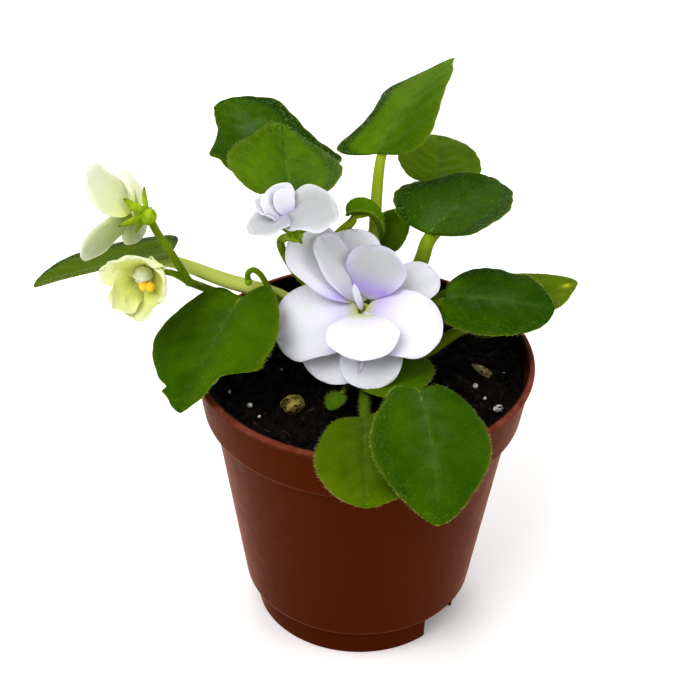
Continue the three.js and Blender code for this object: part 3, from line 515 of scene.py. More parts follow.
def make_piece(name, parts, finishes, node):
    """Joins skins into one mesh, puts it at its place in metres and lets it ride on the root."""
    shifts = np.cumsum([0] + [len(one["points"]) for one in parts])
    points = np.concatenate([one["points"] for one in parts])
    quads, triangles = (
        np.concatenate([one[kind] + shift for one, shift in zip(parts, shifts)])
        for kind in ("quads", "triangles"))
    mesh, used, corners = mesh_of(name, (points + POT_AXIS) * MM, quads, triangles)
    finish = np.concatenate([np.full(len(one[kind]), one["finish"])
                             for kind in ("quads", "triangles") for one in parts])
    mesh.polygons.foreach_set("material_index", finish.astype(np.int32))
    for label in sorted({label for one in parts for label in one["marks"]}):
        values = np.concatenate([
            np.broadcast_to(one["marks"].get(label, 0.0), len(one["points"])) for one in parts])
        layer = mesh.attributes.new(label, "FLOAT", "POINT")
        layer.data.foreach_set("value", values[used].astype(np.float32))
    if any(one["uv"] is not None for one in parts):
        uv = np.concatenate([np.zeros((len(one["points"]), 2)) if one["uv"] is None
                             else one["uv"] for one in parts])[used]
        layer = mesh.uv_layers.new(name="across_and_along")
        layer.data.foreach_set("uv", uv[corners].astype(np.float32).ravel())
    mesh.shade_smooth()
    for made in finishes:
        mesh.materials.append(made)
    if mesh.validate(verbose=False):
        raise RuntimeError(f"{name}: its mesh had faults")
    piece = shown(name, mesh)
    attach(piece, "root")
    if node:
        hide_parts(node)
    return piece


# Blades of leaves and petals

def aim_of(shape, basis):
    """The directions right, ahead and out of the face, from heading, rise and roll."""
    heading, lift = math.radians(shape["heading"]), math.radians(shape["rise"])
    roll = math.radians(shape.get("roll", 0))
    level = basis["side"] * math.cos(heading) + basis["front"] * math.sin(heading)
    ahead = level * math.cos(lift) + basis["up"] * math.sin(lift)
    over = basis["up"] * math.cos(lift) - level * math.sin(lift)
    beside = np.cross(ahead, over)
    face = over * math.cos(roll) + beside * math.sin(roll)
    right = beside * math.cos(roll) - over * math.sin(roll)
    return right, ahead, face


def blade_surface(shape, basis, along, across, crenate=0.0):
    """The middle surface of a leaf or petal. Its half width is a sine of the way along, widest
    where belly sets it, narrowed to a tip by point and varied by three ripples on each side.
    Nicks are small bumps and dents of one side, each with its place along, span and size.
    Lobes hang back behind the base. Each half is folded and cupped, and the whole is twisted
    and bent on an arc. Crenate adds that many millimetres of scallops at the margin."""
    along, across = np.broadcast_arrays(along, across)
    held = np.clip(along, 0, 1)
    right, ahead, face = aim_of(shape, basis)
    left = across < 0

    def of_side(pair):
        return np.where(left, pair[0], pair[1])

    share = np.abs(across)
    swing = np.pi * along
    ripples = shape.get("margin", ((0, 0, 0), (0, 0, 0)))
    lobes = shape.get("lobe", (0, 0))
    half_width = of_side(shape["half_width"])
    reach = np.sin(np.pi * held ** shape["belly"])
    reach = reach * (1 - shape.get("point", 0) * along ** 6)
    reach = reach * (1 + sum(of_side(pair) * np.sin((k + 2) * swing)
                             for k, pair in enumerate(zip(*ripples))))
    for side, place, span, change in shape.get("nicks", ()):
        bump = change * np.exp(-((along - place) / span) ** 2)
        reach = reach * (1 + np.where(left == (side == "left"), bump, 0))
    teeth = np.abs(np.sin(of_side(TEETH) * swing + 0.7 * left)) - 0.6
    scallop = crenate * teeth * share ** 6 * np.sin(np.pi * held) ** 0.5
    out = half_width * reach * share + scallop
    lobe = LOBE_REACH * of_side(lobes) * np.sin(swing) * (1 - along) ** 3 * share
    forth = shape["length"] * (1 - np.cos(swing)) / 2 - lobe
    raised = np.radians(of_side(shape["fold"]) + of_side(shape["cup"]) * reach * share / 2)
    flat = np.sign(across) * out * np.cos(raised)
    high = out * np.sin(raised)
    twist = math.radians(shape.get("twist", 0)) * forth / shape["length"]
    x = flat * np.cos(twist) - high * np.sin(twist)
    z = flat * np.sin(twist) + high * np.cos(twist)
    arc = math.radians(shape["bend"]) * forth / shape["length"]
    y = forth * np.cos(arc / 2) + z * np.sin(arc)
    w = z * np.cos(arc) - forth * np.sin(arc / 2)
    return (shape["base"] + x[..., None] * right + y[..., None] * ahead
            + w[..., None] * face)


def blade_out(shape, basis, along, across):
    """The direction straight out of the upper face, from two short steps on the surface."""
    nudge = 0.004
    steady = np.clip(along, 0.03, 0.97)
    inward = np.clip(across, -0.98, 0.98)
    forward = (blade_surface(shape, basis, steady + nudge, inward)
               - blade_surface(shape, basis, steady - nudge, inward))
    sideways = (blade_surface(shape, basis, steady, inward + nudge)
                - blade_surface(shape, basis, steady, inward - nudge))
    return unit(np.cross(sideways, forward))


def blade_grid(rows, columns, ease):
    """Even steps across and eased steps along, as two matching arrays."""
    along = np.linspace(0, 1, rows + 1) ** ease
    across = np.sin(np.linspace(-np.pi / 2, np.pi / 2, columns + 1) * 0.92)
    across = across / across[-1]
    return np.meshgrid(along, across, indexing="ij")


def thinned(across, power):
    """From 1 in the middle of a blade to 0 at its margins, later for a higher power."""
    return np.sqrt(np.clip(1 - np.abs(across) ** power, 0, 1))


def leaf_veins(shape, along, across):
    """How near each place is to the midrib and to the side veins, from 0 to 1, and how far the
    blade swells between them. Side veins leave the midrib in turn and sweep towards the tip."""
    share = np.abs(across)
    forth = (1 - np.cos(np.pi * along)) / 2
    wide = np.where(across < 0, *shape["half_width"])
    middle = np.exp(-(share * wide / RIB_HALF_WIDTH) ** 2)
    turn = (SIDE_VEINS * (forth * 1.12 - VEIN_SWEEP * share ** 1.35)
            + np.where(across < 0, *VEIN_STARTS))
    off = np.abs(turn - np.round(turn))
    fade = (1 - share ** 3) * smooth((1 - forth) * 5)
    side = np.exp(-(off / VEIN_HALF_WIDTH) ** 2) * fade
    swell = smooth(off * 2) * (1 - share ** 4) * (1 - middle)
    return middle, side, swell


def spotted(values, spots, along, across):
    """Numbers with soft spots added: each spot has its place along and across, its reach along
    and across, and how much it adds at its middle."""
    for place, aside, long, wide, change in spots:
        values = values + change * np.exp(-((along - place) / long) ** 2
                                          - ((across - aside) / wide) ** 2)
    return values


def leaf_blade(leaf, vein_depth):
    """The blade of one leaf: both faces follow the veins, and thin out to a rounded margin. Its
    marks are the veins and rib, a painted grey sheen along the rib, a band of painted shade at
    curled margins, warmer green, yellow spots, the margin's edge, the underside and the tone."""
    short = leaf["length"] <= SHORT_LEAF
    along, across = blade_grid(*(SHORT_LEAF_GRID if short else LEAF_GRID), 1.15)
    middle = blade_surface(leaf, WORLD, along, across, leaf["crenate"])
    out = blade_out(leaf, WORLD, along, across)
    rib, side, swell = leaf_veins(leaf, along, across)
    share = np.abs(across)
    ends = np.sin(np.pi * along) ** 0.4
    depth = vein_depth / MM * (0.3 if short else 1)
    quilt = depth * (0.9 * swell - 0.45 * side - 0.8 * rib) * ends * (1 - share ** 6)
    ripple = RIPPLE_HEIGHT * (0.2 if short else 1) * share ** 3 * np.sin(
        np.pi * along * 5 + leaf["heading"]) * ends
    wide = np.where(across < 0, *leaf["half_width"])
    none = np.zeros_like(along)
    # Painted sheen: a grey-blue highlight along the midrib, stronger on darker leaves, with the
    # leaf's own spots of it
    bloom = np.exp(-(across * wide / SHEEN_HALF_WIDTH) ** 2) * smooth(1.3 - 1.2 * along)
    bloom = spotted(bloom * (1 - leaf["tone"]), leaf.get("sheen_spots", ()), along, across)
    # Painted shade: a dark band along a margin that curls away from the light
    rim = np.where(across < 0, *leaf.get("rim", (0, 0))) * smooth((share - 0.62) / 0.2)
    yellow = spotted(none, leaf.get("yellow", ()), along, across)
    tone = spotted(leaf["tone"], leaf.get("patches", ()), along, across)
    edge = share ** 30 + np.where(along > 0.985, 0.7, 0)
    return lens(middle, out, quilt + ripple, BLADE_THICKNESS / 2 * thinned(across, 5) * ends,
                np.stack([(across + 1) / 2, (1 - np.cos(np.pi * along)) / 2], -1),
                rib=(rib * smooth(1.25 - along), rib), vein=side,
                bloom=(np.clip(bloom, 0, 1), none), rim=(rim, none), warm=leaf.get("warm", 0),
                yellow=(np.clip(yellow, 0, 1), none), edge=np.clip(edge, 0, 1),
                under=(none, none + 1), tone=np.clip(tone, 0, 1))


# Round stems

def even_route(places, count):
    """Evenly spaced points on a smooth curve through the places: between two of them a cubic
    whose slopes weigh each neighbour by the square root of its distance."""
    given = np.asarray(places, float)
    given = np.concatenate([[2 * given[0] - given[1]], given, [2 * given[-1] - given[-2]]])
    gaps = np.sqrt(np.linalg.norm(np.diff(given, axis=0), axis=1))[:, None]
    first, second, third, fourth = given[:-3], given[1:-2], given[2:-1], given[3:]
    before, here, after = gaps[:-2], gaps[1:-1], gaps[2:]
    start = ((second - first) / before - (third - first) / (before + here)
             + (third - second) / here) * here
    end = ((third - second) / here - (fourth - second) / (here + after)
           + (fourth - third) / after) * here
    w = np.linspace(0, 1, 81)[None, :-1, None]
    x1, x2, t1, t2 = (values[:, None, :] for values in (second, third, start, end))
    curve = (x1 + t1 * w + (-3 * x1 + 3 * x2 - 2 * t1 - t2) * w ** 2
             + (2 * x1 - 2 * x2 + t1 + t2) * w ** 3).reshape(-1, 3)
    curve = np.concatenate([curve, given[-2:-1]])
    far = np.concatenate([[0], np.cumsum(np.linalg.norm(np.diff(curve, axis=0), axis=1))])
    even = np.linspace(0, far[-1], count)
    return np.stack([np.interp(even, far, curve[:, k]) for k in range(3)], -1)


def stem_frame(line):
    """Along a line: its direction, and two directions square to it. The first is the world axis
    that the line leans to least, made square to it at each place."""
    ahead = unit(np.gradient(line, axis=0))
    axis = np.eye(3)[np.argmin(np.abs(ahead).max(axis=0))]
    one = unit(axis - (ahead @ axis)[:, None] * ahead)
    return ahead, one, np.cross(ahead, one)


def stem(places, start_radius, end_radius, finish=0, steps=46, sides=14, tone=0.5, taper=1,
         pale=0.0):
    """A round stem carried along the route: rings between two domed ends, whose radius changes
    by a power of the way along. Its tone and how pale it is are the same all along."""
    line = even_route(places, steps)
    ahead, one, other = stem_frame(line)
    share = np.linspace(0, 1, steps)
    radius = start_radius + (end_radius - start_radius) * share ** taper
    dome = np.radians([90, 60, 30])
    lines = np.concatenate([
        line[:1] - np.sin(dome)[:, None] * radius[0] * ahead[:1], line,
        line[-1:] + np.sin(dome[::-1])[:, None] * radius[-1] * ahead[-1:]])
    radii = np.concatenate([np.cos(dome) * radius[0], radius, np.cos(dome[::-1]) * radius[-1]])
    ones, others = (np.pad(values, ((3, 3), (0, 0)), "edge") for values in (one, other))
    turn = np.linspace(0, TURN, sides, endpoint=False)[None, :, None]
    rings = lines[:, None] + radii[:, None, None] * (
        np.cos(turn) * ones[:, None] + np.sin(turn) * others[:, None])
    round_and_along = np.broadcast_arrays(turn[..., 0] / TURN, np.pad(share, 3, "edge")[:, None])
    return ringed(rings, finish, np.stack(round_and_along, -1), tone=tone, pale=pale)


def stem_hairs(places, radii, per_mm, length, seed, skip=0.0, taper=1):
    """Hairs that stand out square to a stem at random places along it and round it, but not in
    the part at its foot that is skipped."""
    rng = np.random.default_rng(seed)
    line = even_route(places, 60)
    _, one, other = stem_frame(line)
    long = np.linalg.norm(np.diff(line, axis=0), axis=1).sum()
    count = max(int(per_mm * long), 8)
    share = skip + (1 - skip) * rng.random(count)
    near = share * (len(line) - 1)
    low = np.minimum(near.astype(int), len(line) - 2)
    mix = (near - low)[:, None]
    centre = line[low] * (1 - mix) + line[low + 1] * mix
    turn = rng.random(count)[:, None] * TURN
    out = unit(np.cos(turn) * one[low] + np.sin(turn) * other[low])
    radius = (radii[0] + (radii[1] - radii[0]) * share ** taper)[:, None]
    lean = 0.35 * rng.normal(size=(count, 3))
    return spikes(centre + out * radius * 0.93, out + lean,
                  length * rng.uniform(0.6, 1.2, count), STEM_HAIR_WIDTH)


def lump(centre, radius, stretch, direction, rough=0.0, seed=0, finish=0, rows=18, sides=24,
         **marks):
    """A round lump, drawn out by stretch along a direction, its radius varied by rough."""
    rng = np.random.default_rng(seed)
    up = unit(direction)
    side = unit(np.cross(up, [0.31, 0.52, -0.8]))
    front = np.cross(up, side)
    fall, turn = np.meshgrid(np.linspace(np.pi, 0, rows + 1),
                             np.linspace(0, TURN, sides, endpoint=False), indexing="ij")
    ball = np.stack([np.sin(fall) * np.cos(turn), np.sin(fall) * np.sin(turn), np.cos(fall)], -1)
    bumps = sum(np.sin(ball @ rng.normal(scale=scale, size=3) + rng.uniform(0, 6.28))
                for scale in (2.5, 3.5, 5, 7, 9)) / 3
    grown = ball * (1 + rough * bumps)[..., None] * radius * [1, 1, stretch]
    return ringed(centre + grown @ np.array([side, front, up]), finish, None, **marks)


# Leaves and flowers

def crown_root(heading, level):
    """The place in the crown, at a heading and a level above the soil, that a stem leaves."""
    return 0.55 * CROWN_RADIUS * towards(heading) + [*CROWN_CENTRE, SOIL_LEVEL + level]


def leaf_route(leaf):
    """From the crown through the stations to the base, and on under the blade as its midrib."""
    radius = leaf.get("stem_radius", PETIOLE_RADIUS)
    along = np.array([0.02, 0.25, 0.5])
    depth = np.array([radius, 0.7 * radius, BLADE_THICKNESS / 2])[:, None]
    ahead = (blade_surface(leaf, WORLD, along + 0.01, 0)
             - blade_surface(leaf, WORLD, along - 0.01, 0))
    sideways = (blade_surface(leaf, WORLD, along, 0.2)
                - blade_surface(leaf, WORLD, along, -0.2))
    under = blade_surface(leaf, WORLD, along, 0) - unit(np.cross(sideways, ahead)) * depth
    return [crown_root(*leaf["root"]), *leaf["stations"], *under]


def leaf_hairs(leaf, length, count, seed):
    """Short pale hairs: a fringe along the margin and a thin nap over the upper face."""
    rng = np.random.default_rng(seed)
    size = leaf["length"] / USUAL_LENGTH
    fringe = int(MARGIN_HAIRS * size)
    along = np.arccos(1 - 2 * rng.uniform(0.01, 0.99, fringe)) / np.pi
    side = rng.choice([-1.0, 1.0], fringe)
    foot = blade_surface(leaf, WORLD, along, side * 0.995, leaf["crenate"])
    inner = blade_surface(leaf, WORLD, along, side * 0.93, leaf["crenate"])
    out = blade_out(leaf, WORLD, along, side)
    way = unit(foot - inner) + 0.45 * rng.normal(size=(fringe, 3)) + 0.25 * out
    edge = spikes(foot, way, length / MM * rng.uniform(0.7, 1.6, fringe), MARGIN_HAIR_WIDTH)
    nap = max(int(count * size * size), 30)
    along = np.arccos(1 - 2 * rng.uniform(0.02, 0.98, nap)) / np.pi
    across = rng.uniform(-0.97, 0.97, nap)
    out = blade_out(leaf, WORLD, along, across)
    foot = blade_surface(leaf, WORLD, along, across) + out * BLADE_THICKNESS * 0.45
    tip = blade_surface(leaf, WORLD, np.clip(along + 0.05, 0, 1), across)
    way = out + 0.5 * unit(tip - foot) + 0.35 * rng.normal(size=(nap, 3))
    return [edge, spikes(foot, way, length / MM * rng.uniform(0.4, 0.9, nap), NAP_HAIR_WIDTH)]


def flower_basis(heading, rise):
    """Across, up the face and out of a flower that faces along a heading and a rise."""
    up = towards(heading, rise)
    front = unit(WORLD["up"] - up * up[2])
    return {"side": np.cross(front, up), "front": front, "up": up}


def in_flower(flower, across, ahead, above):
    """A place measured from a flower's throat along its own three directions."""
    basis = flower_basis(*flower["facing"])
    return (np.array(flower["throat"]) + basis["side"] * across + basis["front"] * ahead
            + basis["up"] * above)


def calyx_centre(flower):
    """Where the calyx sits: behind the tube of the petals, clear of it."""
    return in_flower(flower, 0, 0, -(1.15 * flower["heart"] + CALYX_RADIUS * 0.8 + CLEARANCE))


def petal(entry, flower, number):
    """One petal: a thin blade with a waved margin, fine pleats and a foot near the throat. Its
    marks are blush, the violet at the foot and faintly at the margin, the flower's green and
    lime, and painted grey shade."""
    basis = flower_basis(*flower["facing"])
    across, ahead, _ = entry.get("start", 2.5) * towards(entry["heading"])
    base = in_flower(flower, across, ahead, entry.get("layer", 0))
    cup, width, length = entry.get("cup", 15), entry["width"], entry["length"]
    shape = dict(base=base, heading=entry["heading"], rise=entry["rise"],
                 roll=entry.get("roll", 0), length=length, half_width=(width, width),
                 belly=entry["belly"], bend=entry.get("bend", 8), fold=(5, 5), cup=(cup, cup))
    short = length < SHORT_PETAL
    along, across = blade_grid(*(SHORT_PETAL_GRID if short else PETAL_GRID), 1.1)
    middle = blade_surface(shape, basis, along, across)
    out = blade_out(shape, basis, along, across)
    share = np.abs(across)
    size = min(length, 2 * width)
    ends = np.sin(np.pi * along) ** 0.5
    wave = MARGIN_WAVE * size * share ** 3 * np.sin(
        np.pi * (5.5 * along + 0.5 * across) + 2.4 * number)
    wave = wave + TIP_WAVE * size * smooth(along * 2 - 1) * np.sin(
        np.pi * across * 2.2 + 1.7 * number)
    pleat = PLEAT_HEIGHT * np.cos(np.pi * PLEATS * across) * (1 - along) * ends
    lift = (wave * flower.get("ruffle", 1) * ends + pleat) * (0.3 if short else 1)
    forth = (1 - np.cos(np.pi * along)) / 2
    foot = np.exp(-(forth / 0.3) ** 2)
    fringe = smooth(share ** 4 * 1.1 + (forth > 0.9) * 0.4)
    foot_lime = flower.get("foot_lime", 0) * foot ** 6
    blush = entry.get("blush", 0) * (foot * (1 - foot_lime) + 0.22 * fringe)
    green = (flower.get("green", 0) * (0.55 + 0.7 * (1 - forth))
             + flower.get("foot_green", 0) * foot ** 4)
    # Painted grey shade: each petal's own amount, and on the bud more towards the tips
    shade = (entry.get("shade", 0) * (0.6 + 0.4 * (1 - fringe))
             + flower.get("tip_shade", 0) * smooth(1.4 * forth - 0.3))
    lime = flower.get("lime", 0) * smooth(1.25 - 2.1 * forth) + foot_lime
    return lens(middle, out, lift, PETAL_THICKNESS / 2 * thinned(across, 4) * ends,
                np.stack([(across + 1) / 2, forth], -1), blush=np.clip(blush, 0, 1),
                green=np.clip(green, 0, 1), shade=shade, lime=np.clip(lime, 0, 1))


def calyx(flower):
    """The green cup behind a flower, with five pointed sepals that end in dark tips."""
    basis = flower_basis(*flower["facing"])
    centre = calyx_centre(flower)
    made = [lump(centre, CALYX_RADIUS, 0.8, basis["up"], 0.03, 3, CALYX_FINISH)]
    size = flower.get("sepals", dict(length=5.5, half_width=0.95, rise=22))
    for number in range(5):
        sepal = dict(base=centre, heading=size.get("turn", 36) + 72 * number, rise=size["rise"],
                     length=size["length"], half_width=(size["half_width"],) * 2, belly=0.7,
                     point=0.6, bend=10, fold=(10, 10), cup=(10, 10))
        along, across = blade_grid(*SEPAL_GRID, 1.0)
        middle = blade_surface(sepal, basis, along, across)
        out = blade_out(sepal, basis, along, across)
        half = SEPAL_THICKNESS / 2 * thinned(across, 3) * np.sin(np.pi * along) ** 0.4
        made.append(lens(middle, out, 0, half, np.stack([(across + 1) / 2, along], -1),
                         CALYX_FINISH, tip=smooth(along * 3 - 1.9)))
    return made


# Materials

def new_finish(name):
    """A new material, and the tree that its nodes go into."""
    made = bpy.data.materials.new(name)
    made.use_nodes = True
    return made, made.node_tree


def plug(tree, socket, value):
    """Sets a socket to a value, or links it where the value is another node's output. A colour
    gets its alpha."""
    if isinstance(value, bpy.types.NodeSocket):
        tree.links.new(value, socket)
    elif socket.type == "RGBA":
        socket.default_value = (*tuple(value)[:3], 1.0)
    else:
        socket.default_value = value


def with_shader(made, sockets):
    """The material, with values and links on its shader's own sockets."""
    shader = made.node_tree.nodes["Principled BSDF"]
    for name, value in sockets.items():
        plug(made.node_tree, shader.inputs[name], value)
    return made


def add_node(tree, kind, sockets=None, **settings):
    """A node of that kind, with values or links on its sockets."""
    node = tree.nodes.new(kind)
    for name, value in settings.items():
        setattr(node, name, value)
    for name, value in (sockets or {}).items():
        plug(tree, node.inputs[name], value)
    return node


def times(tree, first, second):
    """Two numbers multiplied."""
    return add_node(tree, "ShaderNodeMath", {0: first, 1: second},
                    operation="MULTIPLY").outputs[0]


def mark(tree, name, weight=None):
    """The number that the mesh carries under that name, times a weight if there is one."""
    carried = add_node(tree, "ShaderNodeAttribute", attribute_name=name).outputs["Fac"]
    return carried if weight is None else times(tree, carried, weight)


def layered(tree, colour, *layers):
    """A colour with others laid over it in turn, each as far as its factor says."""
    for factor, over in layers:
        colour = add_node(tree, "ShaderNodeMix", {0: factor, 6: colour, 7: over},
                          data_type="RGBA").outputs[2]
    return colour


def pattern(tree, kind, output, sockets, coordinates="Object", **settings):
    """A texture on the piece's own coordinates, or on another kind of coordinates."""
    place = add_node(tree, "ShaderNodeTexCoord").outputs[coordinates]
    return add_node(tree, kind, {"Vector": place, **sockets}, **settings).outputs[output]


def grain(tree, scale, detail, roughness=0.5):
    """Noise from 0 to 1; scale counts grains in a metre."""
    return pattern(tree, "ShaderNodeTexNoise", "Fac",
                   {"Scale": scale, "Detail": detail, "Roughness": roughness})


def cells(tree, scale, feature="F1"):
    """Distance from the cell points or cell walls of a Voronoi pattern."""
    return pattern(tree, "ShaderNodeTexVoronoi", "Distance", {"Scale": scale}, feature=feature)


def between(tree, value, low, high, start=0.0, end=1.0):
    """A number carried from one range to another and held inside it."""
    return add_node(tree, "ShaderNodeMapRange", {
        "Value": value, "From Min": low, "From Max": high, "To Min": start,
        "To Max": end}).outputs["Result"]


def bumped(tree, *bumps):
    """The surface with bumps laid on it in turn: each has its height, strength and distance."""
    below = {}
    for height, strength, distance in bumps:
        normal = add_node(tree, "ShaderNodeBump", {
            "Height": height, "Strength": strength, "Distance": distance,
            **below}).outputs["Normal"]
        below = {"Normal": normal}
    return normal


def leaf_finish(settings):
    """Green from deep to yellow-green by the leaf's tone, mottled, with paler veins, a painted grey
    sheen and a band of painted shade flecked paler where the blade says so, a thin warm margin,
    yellow spots, a pale underside and a fine cell grain."""
    made, tree = new_finish("leaf_green")
    deep, bright, vein = settings.deep_colour, settings.bright_colour, settings.vein_colour
    cloud = between(tree, grain(tree, 240, 4, 0.6), 0.35, 0.65, 0.0, 0.55)
    net = between(tree, cells(tree, 520, "DISTANCE_TO_EDGE"), 0.0, 0.12, 1.0, 0.0)
    nap = between(tree, grain(tree, 1700, 2), 0.5, 0.64)
    # Painted shade for curled margins: near-black green, flecked paler by a fine noise
    shade_velvet = layered(tree, (0.014, 0.04, 0.004), (nap, (0.1, 0.17, 0.055)))
    green = layered(
        tree, deep, (mark(tree, "tone"), bright),
        (mark(tree, "warm"), (0.115, 0.145, 0.0004)),
        (between(tree, grain(tree, 70, 3), 0.3, 0.7, 0.0, 0.275), bright),
        (between(tree, grain(tree, 190, 4, 0.6), 0.42, 0.7, 0.0, 0.3), deep),
        (mark(tree, "vein", 0.07), vein), (mark(tree, "rib", 0.22), vein),
        # Painted grey sheen along the rib
        (mark(tree, "bloom", cloud), (0.095, 0.165, 0.07)), (times(tree, net, 0.06), vein),
        # Painted shade along the curled margins
        (mark(tree, "rim", 0.85), shade_velvet), (mark(tree, "edge", 0.45), (0.19, 0.22, 0.02)),
        (mark(tree, "yellow"), (0.42, 0.42, 0.03)), (mark(tree, "under", 0.4), (0.12, 0.2, 0.02)))
    fine = grain(tree, 2600, 2)
    return with_shader(made, {
        "Base Color": green, "Roughness": between(tree, fine, 0.3, 0.7, 0.42, 0.62),
        "Normal": bumped(tree, (grain(tree, 130, 2, 0.45), 0.6, 0.002),
                         (net, 0.35, -0.00012), (fine, 0.3, 0.00012)),
        "Specular IOR Level": 0.05, "Specular Tint": (0.72, 1.0, 0.12),
        "Subsurface Weight": 0.06, "Subsurface Scale": 0.0015})


def stem_finish(settings):
    """Translucent yellow-green by the stem's tone, with brighter patches, a fine grain, and
    paler where the stem says so."""
    made, tree = new_finish("stem_green")
    patch = between(tree, grain(tree, 260, 3), 0.35, 0.7, 0.0, 0.5)
    green = layered(
        tree, settings.stem_deep_colour, (mark(tree, "tone"), settings.stem_bright_colour),
        (mark(tree, "tone", patch), (0.28, 0.33, 0.008)), (mark(tree, "pale"), (0.5, 0.56, 0.16)))
    return with_shader(made, {
        "Base Color": green, "Roughness": 0.5,
        "Normal": bumped(tree, (grain(tree, 1900, 2), 0.3, 0.0001)),
        "Specular IOR Level": 0.1, "Specular Tint": (0.9, 1.0, 0.3),
        "Subsurface Weight": 0.15, "Subsurface Scale": 0.002})


def calyx_finish():
    """Bright yellow-green with dark tips."""
    made, tree = new_finish("calyx_green")
    green = layered(
        tree, (0.17, 0.28, 0.006),
        (between(tree, grain(tree, 420, 3), 0.3, 0.7), (0.34, 0.44, 0.015)),
        (mark(tree, "tip", 0.85), (0.05, 0.07, 0.012)))
    return with_shader(made, {
        "Base Color": green, "Roughness": 0.52, "Specular IOR Level": 0.2,
        "Normal": bumped(tree, (grain(tree, 2200, 2), 0.3, 0.0001)),
        "Subsurface Weight": 0.12, "Subsurface Scale": 0.0015})


def hair_finish():
    """Clear pale hair with a hint of yellow."""
    made, tree = new_finish("hair_pale")
    colour = layered(tree, (0.32, 0.42, 0.1), (grain(tree, 300, 1), (0.62, 0.68, 0.36)))
    return with_shader(made, {"Base Color": colour, "Roughness": 0.45,
                              "Specular IOR Level": 0.4})


def petal_finish(settings):
    """White with lavender clouds and fine veins, green and lime where a flower is unripe, painted
    grey shade where shade says so and violet where blush does; its surface glitters with tiny
    cells."""
    made, tree = new_finish("petal_white")
    lines = pattern(tree, "ShaderNodeTexWave", "Fac", {
        "Scale": 5.5, "Distortion": 1.6, "Detail": 2.0, "Detail Scale": 2.0}, "UV",
        wave_type="BANDS", bands_direction="X")
    vein = between(tree, lines, 0.0, 0.35, 1.0, 0.0)
    # Painted shade: grey, greener on unripe flowers
    shade_grey = layered(tree, (0.38, 0.39, 0.39), (mark(tree, "green"), (0.34, 0.42, 0.08)))
    cloud = between(tree, grain(tree, 330, 3), 0.2, 0.65, 0.55, 1.0)
    tinted = layered(
        tree, settings.petal_colour,
        (between(tree, grain(tree, 130, 3), 0.35, 0.7, 0.0, 0.35), (0.66, 0.64, 0.79)),
        (mark(tree, "green"), settings.unripe_colour),
        (mark(tree, "lime"), settings.throat_colour), (mark(tree, "shade"), shade_grey),
        (mark(tree, "blush", cloud), settings.blush_colour),
        (times(tree, vein, 0.05), (0.55, 0.54, 0.68)))
    glitter = cells(tree, 2300)
    return with_shader(made, {
        "Base Color": tinted, "Roughness": between(tree, glitter, 0.0, 0.6, 0.38, 0.62),
        "Normal": bumped(tree, (vein, 0.12, -0.0001), (glitter, 0.35, -0.00016)),
        "Specular IOR Level": 0.4, "Sheen Weight": 0.15, "Sheen Roughness": 0.4,
        "Subsurface Weight": 0.4, "Subsurface Scale": 0.002,
        "Subsurface Radius": (1.0, 0.95, 0.95)})


def anther_finish():
    """Matt orange-yellow with a pollen grain."""
    made, tree = new_finish("anther_orange")
    dust = grain(tree, 2400, 3)
    colour = layered(tree, (0.85, 0.45, 0.02),
                     (between(tree, dust, 0.3, 0.7), (0.95, 0.7, 0.1)))
    return with_shader(made, {"Base Color": colour, "Roughness": 0.75,
                              "Normal": bumped(tree, (dust, 0.6, 0.00015))})


def pot_finish(settings):
    """Satin red-brown plastic, faintly clouded, with fine turning lines and a faint dust; its lip
    is lighter, partly wear and partly painted highlight, and its inside near-black, partly soil
    stain and partly painted shade."""
    made, tree = new_finish("red_brown_plastic")
    red = settings.plastic_colour
    wear_and_highlight = between(tree, grain(tree, 260, 4, 0.7), 0.35, 0.65, 0.2, 0.9)
    stain_and_shade = between(tree, grain(tree, 380, 4, 0.7), 0.2, 0.5, 0.7, 1.0)
    colour = layered(
        tree, red,
        (between(tree, grain(tree, 28, 3, 0.6), 0.3, 0.7, 0.0, 0.35),
         (red[0] * 1.25, red[1] * 1.2, red[2] * 1.15)),
        (between(tree, grain(tree, 900, 4, 0.7), 0.58, 0.8, 0.0, 0.06), (0.3, 0.16, 0.11)),
        # Lighter lip: partly wear, partly painted highlight
        (mark(tree, "lip", wear_and_highlight), (0.24, 0.085, 0.062)),
        # Near-black inside: partly soil stain, partly painted shade
        (mark(tree, "inside", stain_and_shade), (0.006, 0.004, 0.003)))
    rings = pattern(tree, "ShaderNodeTexWave", "Fac", {
        "Scale": 130.0, "Distortion": 1.5, "Detail": 2.0}, wave_type="BANDS",
        bands_direction="Z")
    return with_shader(made, {
        "Base Color": colour, "Specular IOR Level": 0.04, "Specular Tint": (1.0, 0.42, 0.25),
        "Sheen Weight": 0.25, "Sheen Roughness": 0.3, "Sheen Tint": (1.0, 0.4, 0.25),
        "Normal": bumped(tree, (rings, 0.05, 0.0001), (grain(tree, 1500, 3), 0.12, 0.0001)),
        "Roughness": between(tree, grain(tree, 240, 3), 0.3, 0.7, 0.36, 0.46)})


def soil_finish(settings):
    """Near-black damp peat with brown crumbs."""
    made, tree = new_finish("soil_peat")
    colour = layered(
        tree, settings.peat_colour,
        (between(tree, grain(tree, 420, 4, 0.65), 0.5, 0.75), settings.crumb_colour))
    fine = grain(tree, 1300, 4, 0.7)
    return with_shader(made, {
        "Base Color": colour, "Specular IOR Level": 0.25,
        "Normal": bumped(tree, (grain(tree, 520, 5, 0.7), 0.8, 0.0006), (fine, 0.6, 0.0003)),
        "Roughness": between(tree, fine, 0.35, 0.7, 0.7, 0.98)})


